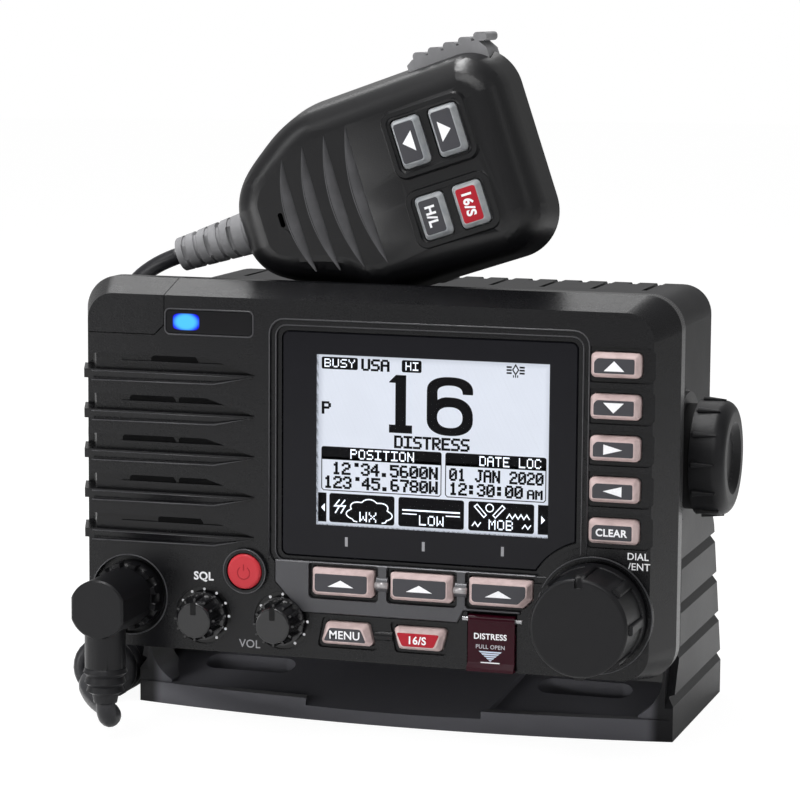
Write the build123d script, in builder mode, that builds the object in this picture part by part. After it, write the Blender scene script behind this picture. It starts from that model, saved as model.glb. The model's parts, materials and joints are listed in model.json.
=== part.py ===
"""Fixed-mount marine radio in its gimbal bracket, with a hand microphone.

Millimetres, +Z up, -Y towards the user.  The origin lies on the table under the
tilt axis, midway between the two arms of the bracket.
"""

import os
from math import acos, atan2, cos, degrees, hypot, radians, sin, sqrt

from build123d import *

os.makedirs("parts", exist_ok=True)

# --- tilt axis and front panel -------------------------------------------------
TILT_Z = 84.0  # height of the tilt axis, which runs along X through y = 0
FACE_Y = -47.0  # flat front face of the panel
CASE_W = 160.0
PANEL_SIDE = 10.0  # how far the rim stands out beside the case
PANEL_W = CASE_W + 2 * PANEL_SIDE  # over the rim
PANEL_H = 110.0
PANEL_BOTTOM = 24.3
PANEL_R = 10.0
RIM_DEPTH = 12.3  # the rim lies this far behind the flat face
PANEL_DEPTH = 17.0
BEVEL_SIDE = 5.2  # the flat face is smaller than the rim by these
BEVEL_TOP = 3.9
BEVEL_BOTTOM = 1.7
FACE_T = 4.0  # wall behind the flat face
PANEL_TOP = PANEL_BOTTOM + PANEL_H
FACE_BOTTOM = PANEL_BOTTOM + BEVEL_BOTTOM
PANEL_MID = PANEL_BOTTOM + PANEL_H / 2

FIT = 0.25  # clearance round a fitted piece of the same body
RUN = 0.35  # clearance round a moving key
SHAFT_RUN = 0.05  # radial clearance of a shaft in its bearing

FRONT = Plane(origin=(0, FACE_Y, 0), x_dir=(1, 0, 0), z_dir=(0, -1, 0))


def depth(d):
    """Sketch plane d behind the flat face: x is X, y is Z, its normal faces the user."""
    return FRONT.offset(-d)


# --- rear case -----------------------------------------------------------------
CASE_TOP = 129.0
CASE_BOTTOM = 30.0
CASE_BACK_DEPTH = 105.0
CASE_R = 9.0
CASE_WALL = 3.5
FLANGE_T = 3.4
FLANGE_EDGE = 3.4  # rim of the panel outside the case flange
GASKET_T = 1.0
LEDGE_DEPTH = PANEL_DEPTH - FLANGE_T - GASKET_T
FIN_SLOT = 2.8
FIN_PITCH = 8.0
FIN_COUNT = 17
FIN_DEPTH = 8.0
TOP_GROOVE = 1.6
TOP_GROOVE_LENGTH = 27.0
CASE_H = CASE_TOP - CASE_BOTTOM
CASE_MID = (CASE_TOP + CASE_BOTTOM) / 2
CASE_BACK_Y = FACE_Y + CASE_BACK_DEPTH

# --- thumb knobs and bracket ---------------------------------------------------
ARM_GAP = 0.5  # case side to arm
ARM_T = 3.5
ARM_GROOVE = 1.5
HEAD_R = 19.5
HEAD_OUT = 1.2
WASHER_R = 15.5
WASHER_T = 3.0
KNOB_GAP = 0.4
KNOB_R = 17.2
KNOB_T = 10.2
KNOB_BARS = 12
STUD_R = 3.0
STUD_CLEAR = 0.05
STUD_IN = 12.0  # stud inside the case
BASE_HALF = CASE_W / 2 + ARM_GAP + ARM_T
BASE_T = 3.2
BASE_FRONT_Y = -9.0
BASE_BOW_Y = -17.2
BASE_BACK_Y = 61.0
LIP_T = 4.0
LIP_H = 6.5
FLOOR_RISE = 0.34  # slope of the floor toward the back
FLOOR_TOP = 12.6
RAISED_FRONT = 4.0  # height of the raised middle at the bowed edge
RAISED_TOP = 14.6
RAISED_HALF = 27.0
RAISED_FLARE = 0.226
PILLAR = 7.0
PILLAR_TOP = 22.0
SLOT_LENGTH = 29.0
SLOT_WIDTH = 8.2
SLOT_X = 53.5
SLOT_Y, SLOT_Z = 7.0, 10.5
ARM_INNER = CASE_W / 2 + ARM_GAP
HEAD_FACE = BASE_HALF + HEAD_OUT
KNOB_INNER = HEAD_FACE + WASHER_T + KNOB_GAP

# --- controls on the face (X, Z) ----------------------------------------------
KEY_COLUMN_X = 74.2
KEY_COLUMN_TOP = 115.7
KEY_PITCH = 11.75
KEY_W = 14.3
KEY_H = 7.0
KEY_R = 1.4
KEY_PROUD = 2.8
KEY_DRAFT = 1.1  # how far the top is drawn in
KEY_TRAVEL = 1.0
KEY_FLANGE = 1.0
KEY_FLANGE_T = 1.2
KEY_DISH_W = 20.4
KEY_DISH_H = 10.2
KEY_DISH_DEPTH = 0.9
SOFT_Z = 49.1
SOFT_X = (-5.5, 18.1, 41.6)
SOFT_W = 18.6
SOFT_H = 8.0
MENU_X = -4.2
CH16_X = 17.8
LOWER_Z = 34.1
LOWER_W = 16.0
LOWER_TOP_W = 12.6
LOWER_H = 6.5
WELL_GAP = 1.3
LOWER_WELL_DEPTH = 0.9
BAR_H = 4.4
LOWER_BAR_H = 3.0
BAR_PROUD = 0.9
POWER_X, POWER_Z = -35.5, 50.6
POWER_R = 5.2
COLLAR_R = 6.6
COLLAR_H = 1.5
SQL_X, VOL_X, LEVEL_Z = -48.6, -24.3, 36.6
LEVEL_RING_R = 8.6
LEVEL_KNOB_R = 6.2
LEVEL_KNOB_H = 9.0
LEVEL_SHAFT_R = 3.0
LEVEL_RIBS = 12
DIAL_X, DIAL_Z = 69.1, 44.4
DIAL_R = 14.1
DIAL_SKIRT_R = 15.2
DIAL_H = 20.0
DIAL_GAP = 1.5
DIAL_RIBS = 8
DIAL_SHAFT_R = 3.0
DIAL_PUSH = 0.8
SEAT_R = 16.9
SEAT_IN_R = 15.9
SEAT_H = 1.0

# --- display -------------------------------------------------------------------
LENS_LEFT, LENS_RIGHT = -24.8, 62.8
LENS_BOTTOM, LENS_TOP = 55.9, 121.3
LENS_R = 2.0
LENS_T = 1.5
LENS_DEPTH = 1.4
STEP_1, STEP_2 = 3.6, 1.8
STEP_1_DEPTH = 0.7
LCD_LEFT, LCD_RIGHT, LCD_BOTTOM, LCD_TOP = -14.4, 54.7, 65.3, 114.9
LCD_MARGIN = 2.4
BOARD_DEPTH = 10.6
BOARD_T = 1.6
LENS_W, LENS_H = LENS_RIGHT - LENS_LEFT, LENS_TOP - LENS_BOTTOM
LENS_X, LENS_Z = (LENS_LEFT + LENS_RIGHT) / 2, (LENS_BOTTOM + LENS_TOP) / 2
LCD_W, LCD_H = LCD_RIGHT - LCD_LEFT, LCD_TOP - LCD_BOTTOM
LCD_X, LCD_Z = (LCD_LEFT + LCD_RIGHT) / 2, (LCD_BOTTOM + LCD_TOP) / 2

# --- trim, cap, light, louvres ---------------------------------------------------
CAP_RIGHT, CAP_BOTTOM = -61.0, 118.9
CAP_T = 1.4
LIGHT_LEFT, LIGHT_RIGHT, LIGHT_BOTTOM, LIGHT_TOP = -60.2, -33.7, 119.4, 126.2
LIGHT_DEPTH = 2.4
TRIM_T = 1.4
TRIM_DEPTH = 0.9
TRIM_TOP = LENS_BOTTOM - STEP_2 + 0.5
TRIM_BOTTOM = 39.6
LOUVRE_TOP_Z = 110.3
LOUVRE_PITCH = 11.87
LOUVRE_COUNT = 5
LOUVRE_H = 4.6
LOUVRE_RIGHT = -33.0
LOUVRE_ROWS = [LOUVRE_TOP_Z - LOUVRE_PITCH * i for i in range(LOUVRE_COUNT)]
LOUVRE_POINT = 15.0
LIP_POINT = 10.0
LOUVRE_DEPTH = 1.8
LIP_BAND, LIP_OUT = 2.8, 0.9
WINDOW_W, WINDOW_H, WINDOW_PITCH, WINDOW_COUNT = 5.6, 2.6, 6.8, 6
WINDOW_LEFT = -74.5
RAIL_H = 0.8

# --- distress switch ---------------------------------------------------------------
DISTRESS_X = 39.1
COVER_W = 13.8
COVER_TOP, COVER_BOTTOM = 40.6, 26.2
COVER_T = 1.8
COVER_PROUD = 1.0
WELL_SIDE = 0.5
WELL_DEPTH = 1.6
PIN_R = 0.75
KNUCKLE_R = 1.5
PIN_Z, PIN_DEPTH = 40.9, 0.4
BUTTON_W, BUTTON_H = 9.0, 7.0
BUTTON_Z = 33.6
TUB_DEPTH = 9.0

# --- microphone socket and plug -------------------------------------------------
SOCKET_X, SOCKET_Z = -72.0, 41.2
RECESS_R = 11.8
RECESS_DEPTH = 2.4
RING_R = 10.0
RING_H = 7.0
BARREL_R = 8.65
BARREL_FLAT = 8.05
BARREL_OUT = 25.2
NECK_R = 5.95
NECK_BACK = 6.3  # neck axis behind the end of the barrel
NECK_END_Z = 23.4
BOOT_END_Z = 14.2
PLUG_CORD_D = 5.6
SLEEVE_R, SLEEVE_END_Z = 3.9, 12.9
PLUG_Y = FACE_Y - BARREL_OUT + NECK_BACK

# --- hand microphone ---------------------------------------------------------------
MIC_TILT = 18.6  # rise of its long axis to the right
MIC_FRONT_DEPTH = 19.0
MIC_JOINT_DEPTH = 37.0
MIC_BACK_DEPTH = 51.0
MIC_X, MIC_Z = 0.3, 165.9  # origin of the microphone's own axes
MIC_MID_V = -3.4
MIC_HALF_H = 31.4
MIC_RIGHT_U = 42.4
MIC_NOSE_U = -51.0
MIC_R = 14.0
MIC_WALL = 2.2
MIC_KEY_COLUMNS = (10.5, 22.2)
MIC_KEY_UPPER_V, MIC_KEY_LOWER_V = 6.6, -15.7
MIC_KEY_W = 8.8
MIC_KEY_UPPER_H, MIC_KEY_LOWER_H = 14.4, 12.8
MIC_KEY_PROUD = 2.2
MIC_KEY_DRAFT = 1.1
GRILLE_U = (-29.0, -21.8, -14.4, -7.2)
GRILLE_W = 3.4
GRILLE_BOW = 3.8  # how far the outer side of a groove bulges
GRILLE_H = (34.5, 38.0, 40.5, 42.0)
GRILLE_DEPTH = 1.7
RELIEF_LENGTH = 22.8
RELIEF_R0, RELIEF_R1 = 6.5, 5.1
MIC_CORD_D = 5.0
PTT_LEFT, PTT_RIGHT = 12.5, 37.0
RELIEF_RINGS, RELIEF_FIRST, RELIEF_PITCH = 5, 4.4, 3.9
PTT_DEPTH = 36.5
PTT_W = 12.0
PTT_OUT = 2.2
PTT_PADS, PTT_PITCH = 5, 4.8


def mic_depth(d):
    """Sketch plane across the microphone, d behind the flat face of the radio."""
    t = radians(MIC_TILT)
    return Plane(origin=(MIC_X, FACE_Y + d, MIC_Z), x_dir=(cos(t), 0, sin(t)), z_dir=(0, -1, 0))


def mic_point(u, v, d):
    """World place of the microphone's (u, v) at depth d."""
    t = radians(MIC_TILT)
    return (MIC_X + u * cos(t) - v * sin(t), FACE_Y + d, MIC_Z + u * sin(t) + v * cos(t))


# === shapes used by more than one piece ============================================


def panel_form(inset):
    """Outer form of the front panel, drawn in by inset all round."""
    with BuildPart() as form:
        with BuildSketch(depth(inset)):
            with Locations((0, PANEL_MID + (BEVEL_BOTTOM - BEVEL_TOP) / 2)):
                RectangleRounded(
                    PANEL_W - 2 * BEVEL_SIDE - 2 * inset,
                    PANEL_H - BEVEL_TOP - BEVEL_BOTTOM - 2 * inset,
                    PANEL_R - 2 - inset,
                )
        with BuildSketch(depth(RIM_DEPTH)):
            with Locations((0, PANEL_MID)):
                RectangleRounded(PANEL_W - 2 * inset, PANEL_H - 2 * inset, PANEL_R - inset)
        loft()
        with BuildSketch(depth(PANEL_DEPTH)):
            with Locations((0, PANEL_MID)):
                RectangleRounded(PANEL_W - 2 * inset, PANEL_H - 2 * inset, PANEL_R - inset)
        extrude(amount=PANEL_DEPTH - RIM_DEPTH)
    return form.part


def cap_block(gap):
    """Block round the upper left corner, larger than the cap by gap."""
    with BuildPart() as block:
        with BuildSketch(depth(RIM_DEPTH)):
            with BuildLine():
                Polyline(
                    (-PANEL_W, CAP_BOTTOM - gap),
                    (CAP_RIGHT + gap - 3, CAP_BOTTOM - gap),
                    (CAP_RIGHT + gap, CAP_BOTTOM - gap + 3),
                    (CAP_RIGHT + gap, 2 * PANEL_TOP),
                    (-PANEL_W, 2 * PANEL_TOP),
                    close=True,
                )
            make_face()
        extrude(amount=2 * RIM_DEPTH)
    return block.part


def louvre_bands(shift, height, point, rising, outer, inner):
    """Skin between two forms of the panel, in a band at each louvre; its end is cut
    at a slant that starts point before the tip, at the upper or the lower corner."""
    with BuildPart() as bands:
        with BuildSketch(depth(RIM_DEPTH)):
            for z in LOUVRE_ROWS:
                low, high = z + shift - height / 2, z + shift + height / 2
                with BuildLine():
                    Polyline(
                        (-PANEL_W, low),
                        (LOUVRE_RIGHT - (0 if rising else point), low),
                        (LOUVRE_RIGHT - (point if rising else 0), high),
                        (-PANEL_W, high),
                        close=True,
                    )
                make_face()
        extrude(amount=2 * RIM_DEPTH)
        add(outer, mode=Mode.INTERSECT)
        add(inner, mode=Mode.SUBTRACT)
    return bands.part


def lens_outline(grow):
    """Outline of the lens, grown all round, cut away round the dial seat."""
    with BuildSketch() as outline:
        with Locations((LENS_X, LENS_Z)):
            RectangleRounded(LENS_W + 2 * grow, LENS_H + 2 * grow, LENS_R + grow)
        with Locations((DIAL_X, DIAL_Z)):
            Circle(SEAT_R + STEP_1 + 0.6 - grow, mode=Mode.SUBTRACT)
    return outline.sketch


def trim_outline(gap):
    """Outline of the light grey trim round the soft keys, larger by gap."""
    with BuildSketch() as outline:
        with BuildLine():
            Polyline(
                (LENS_LEFT - 1.6, TRIM_TOP),
                (LENS_LEFT - 1.6, TRIM_BOTTOM + 8.5),
                (LENS_LEFT + 3.6, TRIM_BOTTOM + 3.0),
                (LENS_LEFT + 7.0, TRIM_BOTTOM),
                (DISTRESS_X - COVER_W / 2 - 3.4, TRIM_BOTTOM),
                (DISTRESS_X - COVER_W / 2 - 1.6, TRIM_BOTTOM + 3.6),
                (DISTRESS_X + COVER_W / 2 + 1.2, TRIM_BOTTOM + 3.6),
                (DISTRESS_X + COVER_W / 2 + 5.8, TRIM_TOP),
                close=True,
            )
        make_face()
        if gap:
            offset(amount=gap, kind=Kind.INTERSECTION)
    return outline.sketch


def lower_key_outline(x, grow):
    """Outline of a key of the lower row, with rounded corners: the left key is wider at
    the bottom and the right key is wider at the top."""
    low_w, high_w = (LOWER_W, LOWER_TOP_W) if x == MENU_X else (LOWER_TOP_W, LOWER_W)
    with BuildSketch() as outline:
        with BuildLine():
            Polyline(
                (x - low_w / 2 - grow, LOWER_Z - LOWER_H / 2 - grow),
                (x + low_w / 2 + grow, LOWER_Z - LOWER_H / 2 - grow),
                (x + high_w / 2 + grow, LOWER_Z + LOWER_H / 2 + grow),
                (x - high_w / 2 - grow, LOWER_Z + LOWER_H / 2 + grow),
                close=True,
            )
        make_face()
        fillet(outline.vertices(), 1.2)
    return outline.sketch


def soft_key_outline(x, grow, cut_left, cut_right):
    """Outline of a soft key; its lower corners are cut off by the given amounts."""
    half_w, half_h = SOFT_W / 2 + grow, SOFT_H / 2 + grow
    with BuildSketch() as outline:
        with BuildLine():
            Polyline(
                (x - half_w, SOFT_Z + half_h),
                (x - half_w, SOFT_Z - half_h + cut_left),
                (x - half_w + cut_left, SOFT_Z - half_h),
                (x + half_w - cut_right, SOFT_Z - half_h),
                (x + half_w, SOFT_Z - half_h + cut_right),
                (x + half_w, SOFT_Z + half_h),
                close=True,
            )
        make_face()
        fillet(outline.vertices(), 0.8)
    return outline.sketch


def bar_between(left, right, z, height, depth_top, depth_low):
    """Rounded bar from left to right whose front is an arc of the given height."""
    rise = depth_low - depth_top
    with BuildPart() as bar:
        with BuildSketch(Plane.YZ.offset(left)):
            with BuildLine():
                Polyline(
                    (FACE_Y + depth_low, z + height / 2),
                    (FACE_Y + depth_low + 0.9, z + height / 2),
                    (FACE_Y + depth_low + 0.9, z - height / 2),
                    (FACE_Y + depth_low, z - height / 2),
                )
                ThreePointArc(
                    (FACE_Y + depth_low, z - height / 2),
                    (FACE_Y + depth_low - rise, z),
                    (FACE_Y + depth_low, z + height / 2),
                )
            make_face()
        extrude(amount=right - left)
    return bar.part


def column_z(row):
    return KEY_COLUMN_TOP - row * KEY_PITCH


def key_part(outline, top, flange, proud):
    """Key whose sides lean in to its top, with a retaining flange behind the panel."""
    with BuildPart() as key:
        with BuildSketch(depth(FACE_T)):
            add(outline)
        extrude(amount=FACE_T + 0.4)
        with BuildSketch(depth(-0.4)):
            add(outline)
        with BuildSketch(depth(-proud)):
            add(top)
        loft(ruled=True)
        with BuildSketch(depth(FACE_T + RUN + KEY_FLANGE_T)):
            add(flange)
        extrude(amount=KEY_FLANGE_T)
        with BuildSketch(depth(FACE_T + RUN)):
            add(outline)
        extrude(amount=RUN)
    return key.part


def column_key_outline(row, grow):
    with BuildSketch() as outline:
        with Locations((KEY_COLUMN_X, column_z(row))):
            RectangleRounded(KEY_W + 2 * grow, KEY_H + 2 * grow, KEY_R + grow)
    return outline.sketch


# === front panel ====================================================================

SOFT_CUTS = ((0.8, 0.8), (0.8, 0.8), (0.8, 2.6))
PANEL_BOSSES = [(-29.5, 66.0), (63.5, 118.6), (-29.5, 112.0), (52.0, 33.0)]
COVER_EDGE_L = DISTRESS_X - COVER_W / 2 - WELL_SIDE
COVER_EDGE_R = DISTRESS_X + COVER_W / 2 + WELL_SIDE

with BuildPart() as front_panel:
    add(panel_form(0))
    # hollow behind the wall, then the seat of the case flange
    with BuildSketch(depth(FACE_T)):
        with Locations((0, PANEL_MID + (BEVEL_BOTTOM - BEVEL_TOP) / 2)):
            RectangleRounded(PANEL_W - 2 * BEVEL_SIDE - 5.0, PANEL_H - 11.0, PANEL_R - 4)
    with BuildSketch(depth(LEDGE_DEPTH)):
        with Locations((0, PANEL_MID)):
            RectangleRounded(PANEL_W - 10.0, PANEL_H - 10.0, PANEL_R - 4)
    loft(mode=Mode.SUBTRACT)
    with BuildSketch(depth(PANEL_DEPTH)):
        with Locations((0, PANEL_MID)):
            RectangleRounded(PANEL_W - 2 * FLANGE_EDGE, PANEL_H - 2 * FLANGE_EDGE, PANEL_R - 3)
    extrude(amount=PANEL_DEPTH - LEDGE_DEPTH, mode=Mode.SUBTRACT)
    # seat of the corner cap
    with BuildPart(mode=Mode.SUBTRACT) as cap_seat:
        add(panel_form(0))
        add(cap_block(FIT), mode=Mode.INTERSECT)
        add(panel_form(CAP_T), mode=Mode.SUBTRACT)
    # status light window
    with BuildSketch(depth(LIGHT_DEPTH)):
        with Locations(((LIGHT_LEFT + LIGHT_RIGHT) / 2, (LIGHT_BOTTOM + LIGHT_TOP) / 2)):
            RectangleRounded(LIGHT_RIGHT - LIGHT_LEFT, LIGHT_TOP - LIGHT_BOTTOM, 1.2)
    extrude(amount=2 * LIGHT_DEPTH, mode=Mode.SUBTRACT)
    # louvres: grooves with a pointed end, windows through the wall, a thin rail across
    groove = louvre_bands(0, LOUVRE_H, LOUVRE_POINT, True, panel_form(0), panel_form(LOUVRE_DEPTH))
    add(groove, mode=Mode.SUBTRACT)
    lip_shift = -LOUVRE_H / 2 - LIP_BAND / 2
    add(louvre_bands(lip_shift, LIP_BAND, LIP_POINT, False, panel_form(-LIP_OUT), panel_form(1.0)))
    # the lip falls from its crest back to the face
    with BuildSketch(Plane.YZ.offset(-PANEL_W / 2 + 2.5)):
        for z in LOUVRE_ROWS:
            crest = z - LOUVRE_H / 2 - 0.5
            with BuildLine():
                Polyline(
                    (FACE_Y - LIP_OUT, crest),
                    (FACE_Y - 0.05, crest + 0.5 - LIP_BAND),
                    (FACE_Y - 0.05, crest - LIP_BAND),
                    (FACE_Y - 3, crest - LIP_BAND),
                    (FACE_Y - 3, crest),
                    close=True,
                )
            make_face()
    extrude(amount=PANEL_W / 2, mode=Mode.SUBTRACT)
    with BuildSketch(depth(FACE_T + 1)):
        for z in LOUVRE_ROWS:
            for i in range(WINDOW_COUNT):
                with Locations((WINDOW_LEFT + i * WINDOW_PITCH + WINDOW_W / 2, z)):
                    Rectangle(WINDOW_W, WINDOW_H)
    extrude(amount=FACE_T + 1, mode=Mode.SUBTRACT)
    with BuildSketch(depth(FACE_T)):
        for z in LOUVRE_ROWS:
            with Locations((WINDOW_LEFT + WINDOW_COUNT * WINDOW_PITCH / 2 - 0.4, z)):
                Rectangle(WINDOW_COUNT * WINDOW_PITCH, RAIL_H)
    extrude(amount=FACE_T - LOUVRE_DEPTH + 0.9)
    # stepped frame and pocket of the display
    for grow, deep in ((STEP_1, STEP_1_DEPTH), (STEP_2, LENS_DEPTH), (FIT, LENS_DEPTH + LENS_T)):
        with BuildSketch(depth(deep)):
            add(lens_outline(grow))
        extrude(amount=2 * deep, mode=Mode.SUBTRACT)
    with BuildSketch(depth(FACE_T)):
        with Locations((LCD_X, LCD_Z)):
            Rectangle(LCD_W + 2 * LCD_MARGIN, LCD_H + 2 * LCD_MARGIN)
    extrude(amount=FACE_T, mode=Mode.SUBTRACT)
    # trim seat and key openings
    with BuildSketch(depth(TRIM_DEPTH)):
        add(trim_outline(FIT))
    extrude(amount=2 * TRIM_DEPTH, mode=Mode.SUBTRACT)
    for row in range(5):
        with BuildSketch(depth(KEY_DISH_DEPTH)):
            with Locations((KEY_COLUMN_X + 1.0, column_z(row))):
                RectangleRounded(KEY_DISH_W, KEY_DISH_H, 2.6)
        extrude(amount=2 * KEY_DISH_DEPTH, mode=Mode.SUBTRACT)
        with BuildSketch(depth(FACE_T + 1)):
            add(column_key_outline(row, RUN))
        extrude(amount=FACE_T + 1, mode=Mode.SUBTRACT)
    for x, cuts in zip(SOFT_X, SOFT_CUTS):
        with BuildSketch(depth(FACE_T + 1)):
            add(soft_key_outline(x, RUN, *cuts))
        extrude(amount=FACE_T + 1, mode=Mode.SUBTRACT)
    for x in (MENU_X, CH16_X):
        with BuildSketch(depth(FACE_T + 1)):
            add(lower_key_outline(x, RUN))
        extrude(amount=FACE_T + 2, mode=Mode.SUBTRACT)
        with BuildSketch(depth(LOWER_WELL_DEPTH)):
            add(lower_key_outline(x, WELL_GAP))
        extrude(amount=2 * LOWER_WELL_DEPTH, mode=Mode.SUBTRACT)
    add(
        bar_between(
            MENU_X + LOWER_W / 2 + RUN,
            CH16_X - LOWER_W / 2 - RUN,
            LOWER_Z,
            LOWER_BAR_H,
            -BAR_PROUD,
            LOWER_WELL_DEPTH,
        )
    )
    # power button collar
    with BuildSketch(depth(FACE_T)):
        with Locations((POWER_X, POWER_Z)):
            Circle(COLLAR_R)
    extrude(amount=FACE_T + COLLAR_H)
    with BuildSketch(depth(FACE_T + 1)):
        with Locations((POWER_X, POWER_Z)):
            Circle(POWER_R + RUN)
    extrude(amount=FACE_T + COLLAR_H + 2, mode=Mode.SUBTRACT)
    # level knobs: shallow ring seat and bush hole
    with BuildSketch(depth(0.5)):
        with Locations((SQL_X, LEVEL_Z), (VOL_X, LEVEL_Z)):
            Circle(LEVEL_RING_R)
            Circle(LEVEL_RING_R - 1.9, mode=Mode.SUBTRACT)
    extrude(amount=1, mode=Mode.SUBTRACT)
    with BuildSketch(depth(FACE_T + 1)):
        with Locations((SQL_X, LEVEL_Z), (VOL_X, LEVEL_Z)):
            Circle(LEVEL_SHAFT_R + 1.0 + FIT)
        with Locations((DIAL_X, DIAL_Z)):
            Circle(DIAL_SHAFT_R + 1.0 + FIT)
    extrude(amount=FACE_T + 2, mode=Mode.SUBTRACT)
    # raised seat ring of the dial
    with BuildSketch(depth(1)):
        with Locations((DIAL_X, DIAL_Z)):
            Circle(SEAT_R)
            Circle(SEAT_IN_R, mode=Mode.SUBTRACT)
    extrude(amount=1 + SEAT_H)
    # recess of the microphone socket with the wall carried round behind it
    with BuildSketch(depth(FACE_T + RECESS_DEPTH)):
        with Locations((SOCKET_X, SOCKET_Z)):
            Circle(RECESS_R + 1.6)
    extrude(amount=RECESS_DEPTH)
    with BuildSketch(depth(RECESS_DEPTH)):
        with Locations((SOCKET_X, SOCKET_Z)):
            Circle(RECESS_R)
    extrude(amount=RECESS_DEPTH + 1, mode=Mode.SUBTRACT)
    with BuildSketch(depth(FACE_T + RECESS_DEPTH + 1)):
        with Locations((SOCKET_X, SOCKET_Z)):
            Circle(RING_R - 1.2)
    extrude(amount=FACE_T + RECESS_DEPTH + 1, mode=Mode.SUBTRACT)
    # distress switch: tub behind the face, cover seat open at the lower edge, button hole
    with BuildSketch(depth(TUB_DEPTH)):
        with Locations((DISTRESS_X, BUTTON_Z + 0.4)):
            RectangleRounded(COVER_W - 0.4, BUTTON_H + 5.0, 1.5)
    extrude(amount=TUB_DEPTH - FACE_T)
    with BuildSketch(depth(WELL_DEPTH)):
        with Locations((DISTRESS_X, (PIN_Z + KNUCKLE_R + 0.5 + PANEL_BOTTOM - 5) / 2)):
            Rectangle(COVER_W + 2 * WELL_SIDE, PIN_Z + KNUCKLE_R + 0.5 - PANEL_BOTTOM + 5)
    extrude(amount=WELL_DEPTH + 1, mode=Mode.SUBTRACT)
    with BuildSketch(depth(PIN_DEPTH + KNUCKLE_R + 0.6)):
        with Locations((DISTRESS_X, PIN_Z)):
            Rectangle(COVER_W + 2 * WELL_SIDE, 2 * KNUCKLE_R + 1.2)
    extrude(amount=KNUCKLE_R + 1, mode=Mode.SUBTRACT)
    with BuildSketch(depth(TUB_DEPTH - 1.6)):
        with Locations((DISTRESS_X, BUTTON_Z + 0.4)):
            RectangleRounded(COVER_W - 3.4, BUTTON_H + 2.4, 1.0)
    extrude(amount=TUB_DEPTH - 1.6, mode=Mode.SUBTRACT)
    with BuildSketch(depth(TUB_DEPTH)):
        with Locations((DISTRESS_X, BUTTON_Z)):
            Circle(2.0 + RUN)
    extrude(amount=2, mode=Mode.SUBTRACT)
    with Locations(Location((COVER_EDGE_L - 1.5, FACE_Y + PIN_DEPTH, PIN_Z), (0, 90, 0))):
        Cylinder(
            PIN_R,
            COVER_EDGE_R - COVER_EDGE_L + 3,
            align=(Align.CENTER, Align.CENTER, Align.MIN),
            mode=Mode.SUBTRACT,
        )
    # bosses that carry the front board
    with BuildSketch(depth(BOARD_DEPTH)):
        with Locations(*PANEL_BOSSES):
            Circle(2.4)
    extrude(amount=BOARD_DEPTH - FACE_T)
front_panel.part.label = "front_panel"
export_step(front_panel.part, "parts/front_panel.step")

with BuildPart() as corner_cap:
    add(panel_form(0))
    add(cap_block(0), mode=Mode.INTERSECT)
    add(panel_form(CAP_T), mode=Mode.SUBTRACT)
corner_cap.part.label = "corner_cap"
export_step(corner_cap.part, "parts/corner_cap.step")

with BuildPart() as light_window:
    with BuildSketch(depth(LIGHT_DEPTH)):
        with Locations(((LIGHT_LEFT + LIGHT_RIGHT) / 2, (LIGHT_BOTTOM + LIGHT_TOP) / 2)):
            RectangleRounded(
                LIGHT_RIGHT - LIGHT_LEFT - FIT, LIGHT_TOP - LIGHT_BOTTOM - FIT, 1.0
            )
    extrude(amount=LIGHT_DEPTH)
    with BuildSketch(depth(0)):
        with Locations((LIGHT_LEFT + 6.0, (LIGHT_BOTTOM + LIGHT_TOP) / 2)):
            RectangleRounded(7.6, 4.2, 0.6)
    extrude(amount=0.3)
light_window.part.label = "light_window"
export_step(light_window.part, "parts/light_window.step")

with BuildPart() as display_lens:
    with BuildSketch(depth(LENS_DEPTH + LENS_T)):
        add(lens_outline(0))
    extrude(amount=LENS_T)
    chamfer(display_lens.faces().sort_by(Axis.Y)[0].edges(), 0.3)
display_lens.part.label = "display_lens"
export_step(display_lens.part, "parts/display_lens.step")

with BuildPart() as lcd_panel:
    with BuildSketch(depth(FACE_T)):
        with Locations((LCD_X, LCD_Z)):
            Rectangle(LCD_W + 2 * LCD_MARGIN - 2 * FIT, LCD_H + 2 * LCD_MARGIN - 2 * FIT)
    extrude(amount=FACE_T - LENS_DEPTH - LENS_T)
    with BuildSketch(depth(BOARD_DEPTH)):
        with Locations((LCD_X, LCD_Z)):
            Rectangle(LCD_W + 7, LCD_H + 6)
    extrude(amount=BOARD_DEPTH - FACE_T)
lcd_panel.part.label = "lcd_panel"
export_step(lcd_panel.part, "parts/lcd_panel.step")

with BuildPart() as softkey_trim:
    with BuildSketch(depth(TRIM_DEPTH)):
        add(trim_outline(0))
    extrude(amount=TRIM_T)
    chamfer(softkey_trim.faces().sort_by(Axis.Y)[0].edges(), 0.3)
    for x, cuts in zip(SOFT_X, SOFT_CUTS):
        with BuildSketch(depth(FACE_T)):
            add(soft_key_outline(x, WELL_GAP, *cuts))
        extrude(amount=2 * FACE_T, mode=Mode.SUBTRACT)
    for x in SOFT_X[:-1]:
        add(
            bar_between(
                x + SOFT_W / 2 + 2 * RUN,
                x + SOFT_W / 2 + (SOFT_X[1] - SOFT_X[0] - SOFT_W) - WELL_GAP + 0.4,
                SOFT_Z,
                BAR_H,
                TRIM_DEPTH - TRIM_T - BAR_PROUD,
                TRIM_DEPTH - 0.9,
            )
        )
softkey_trim.part.label = "softkey_trim"
export_step(softkey_trim.part, "parts/softkey_trim.step")

# === keys and buttons =================================================================

column_names = ("key_up", "key_down", "key_right", "key_left", "key_clear")
for row, name in enumerate(column_names):
    key = key_part(
        column_key_outline(row, 0),
        column_key_outline(row, -KEY_DRAFT),
        column_key_outline(row, KEY_FLANGE),
        KEY_PROUD,
    )
    key.label = name
    export_step(key, f"parts/{name}.step")

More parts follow.
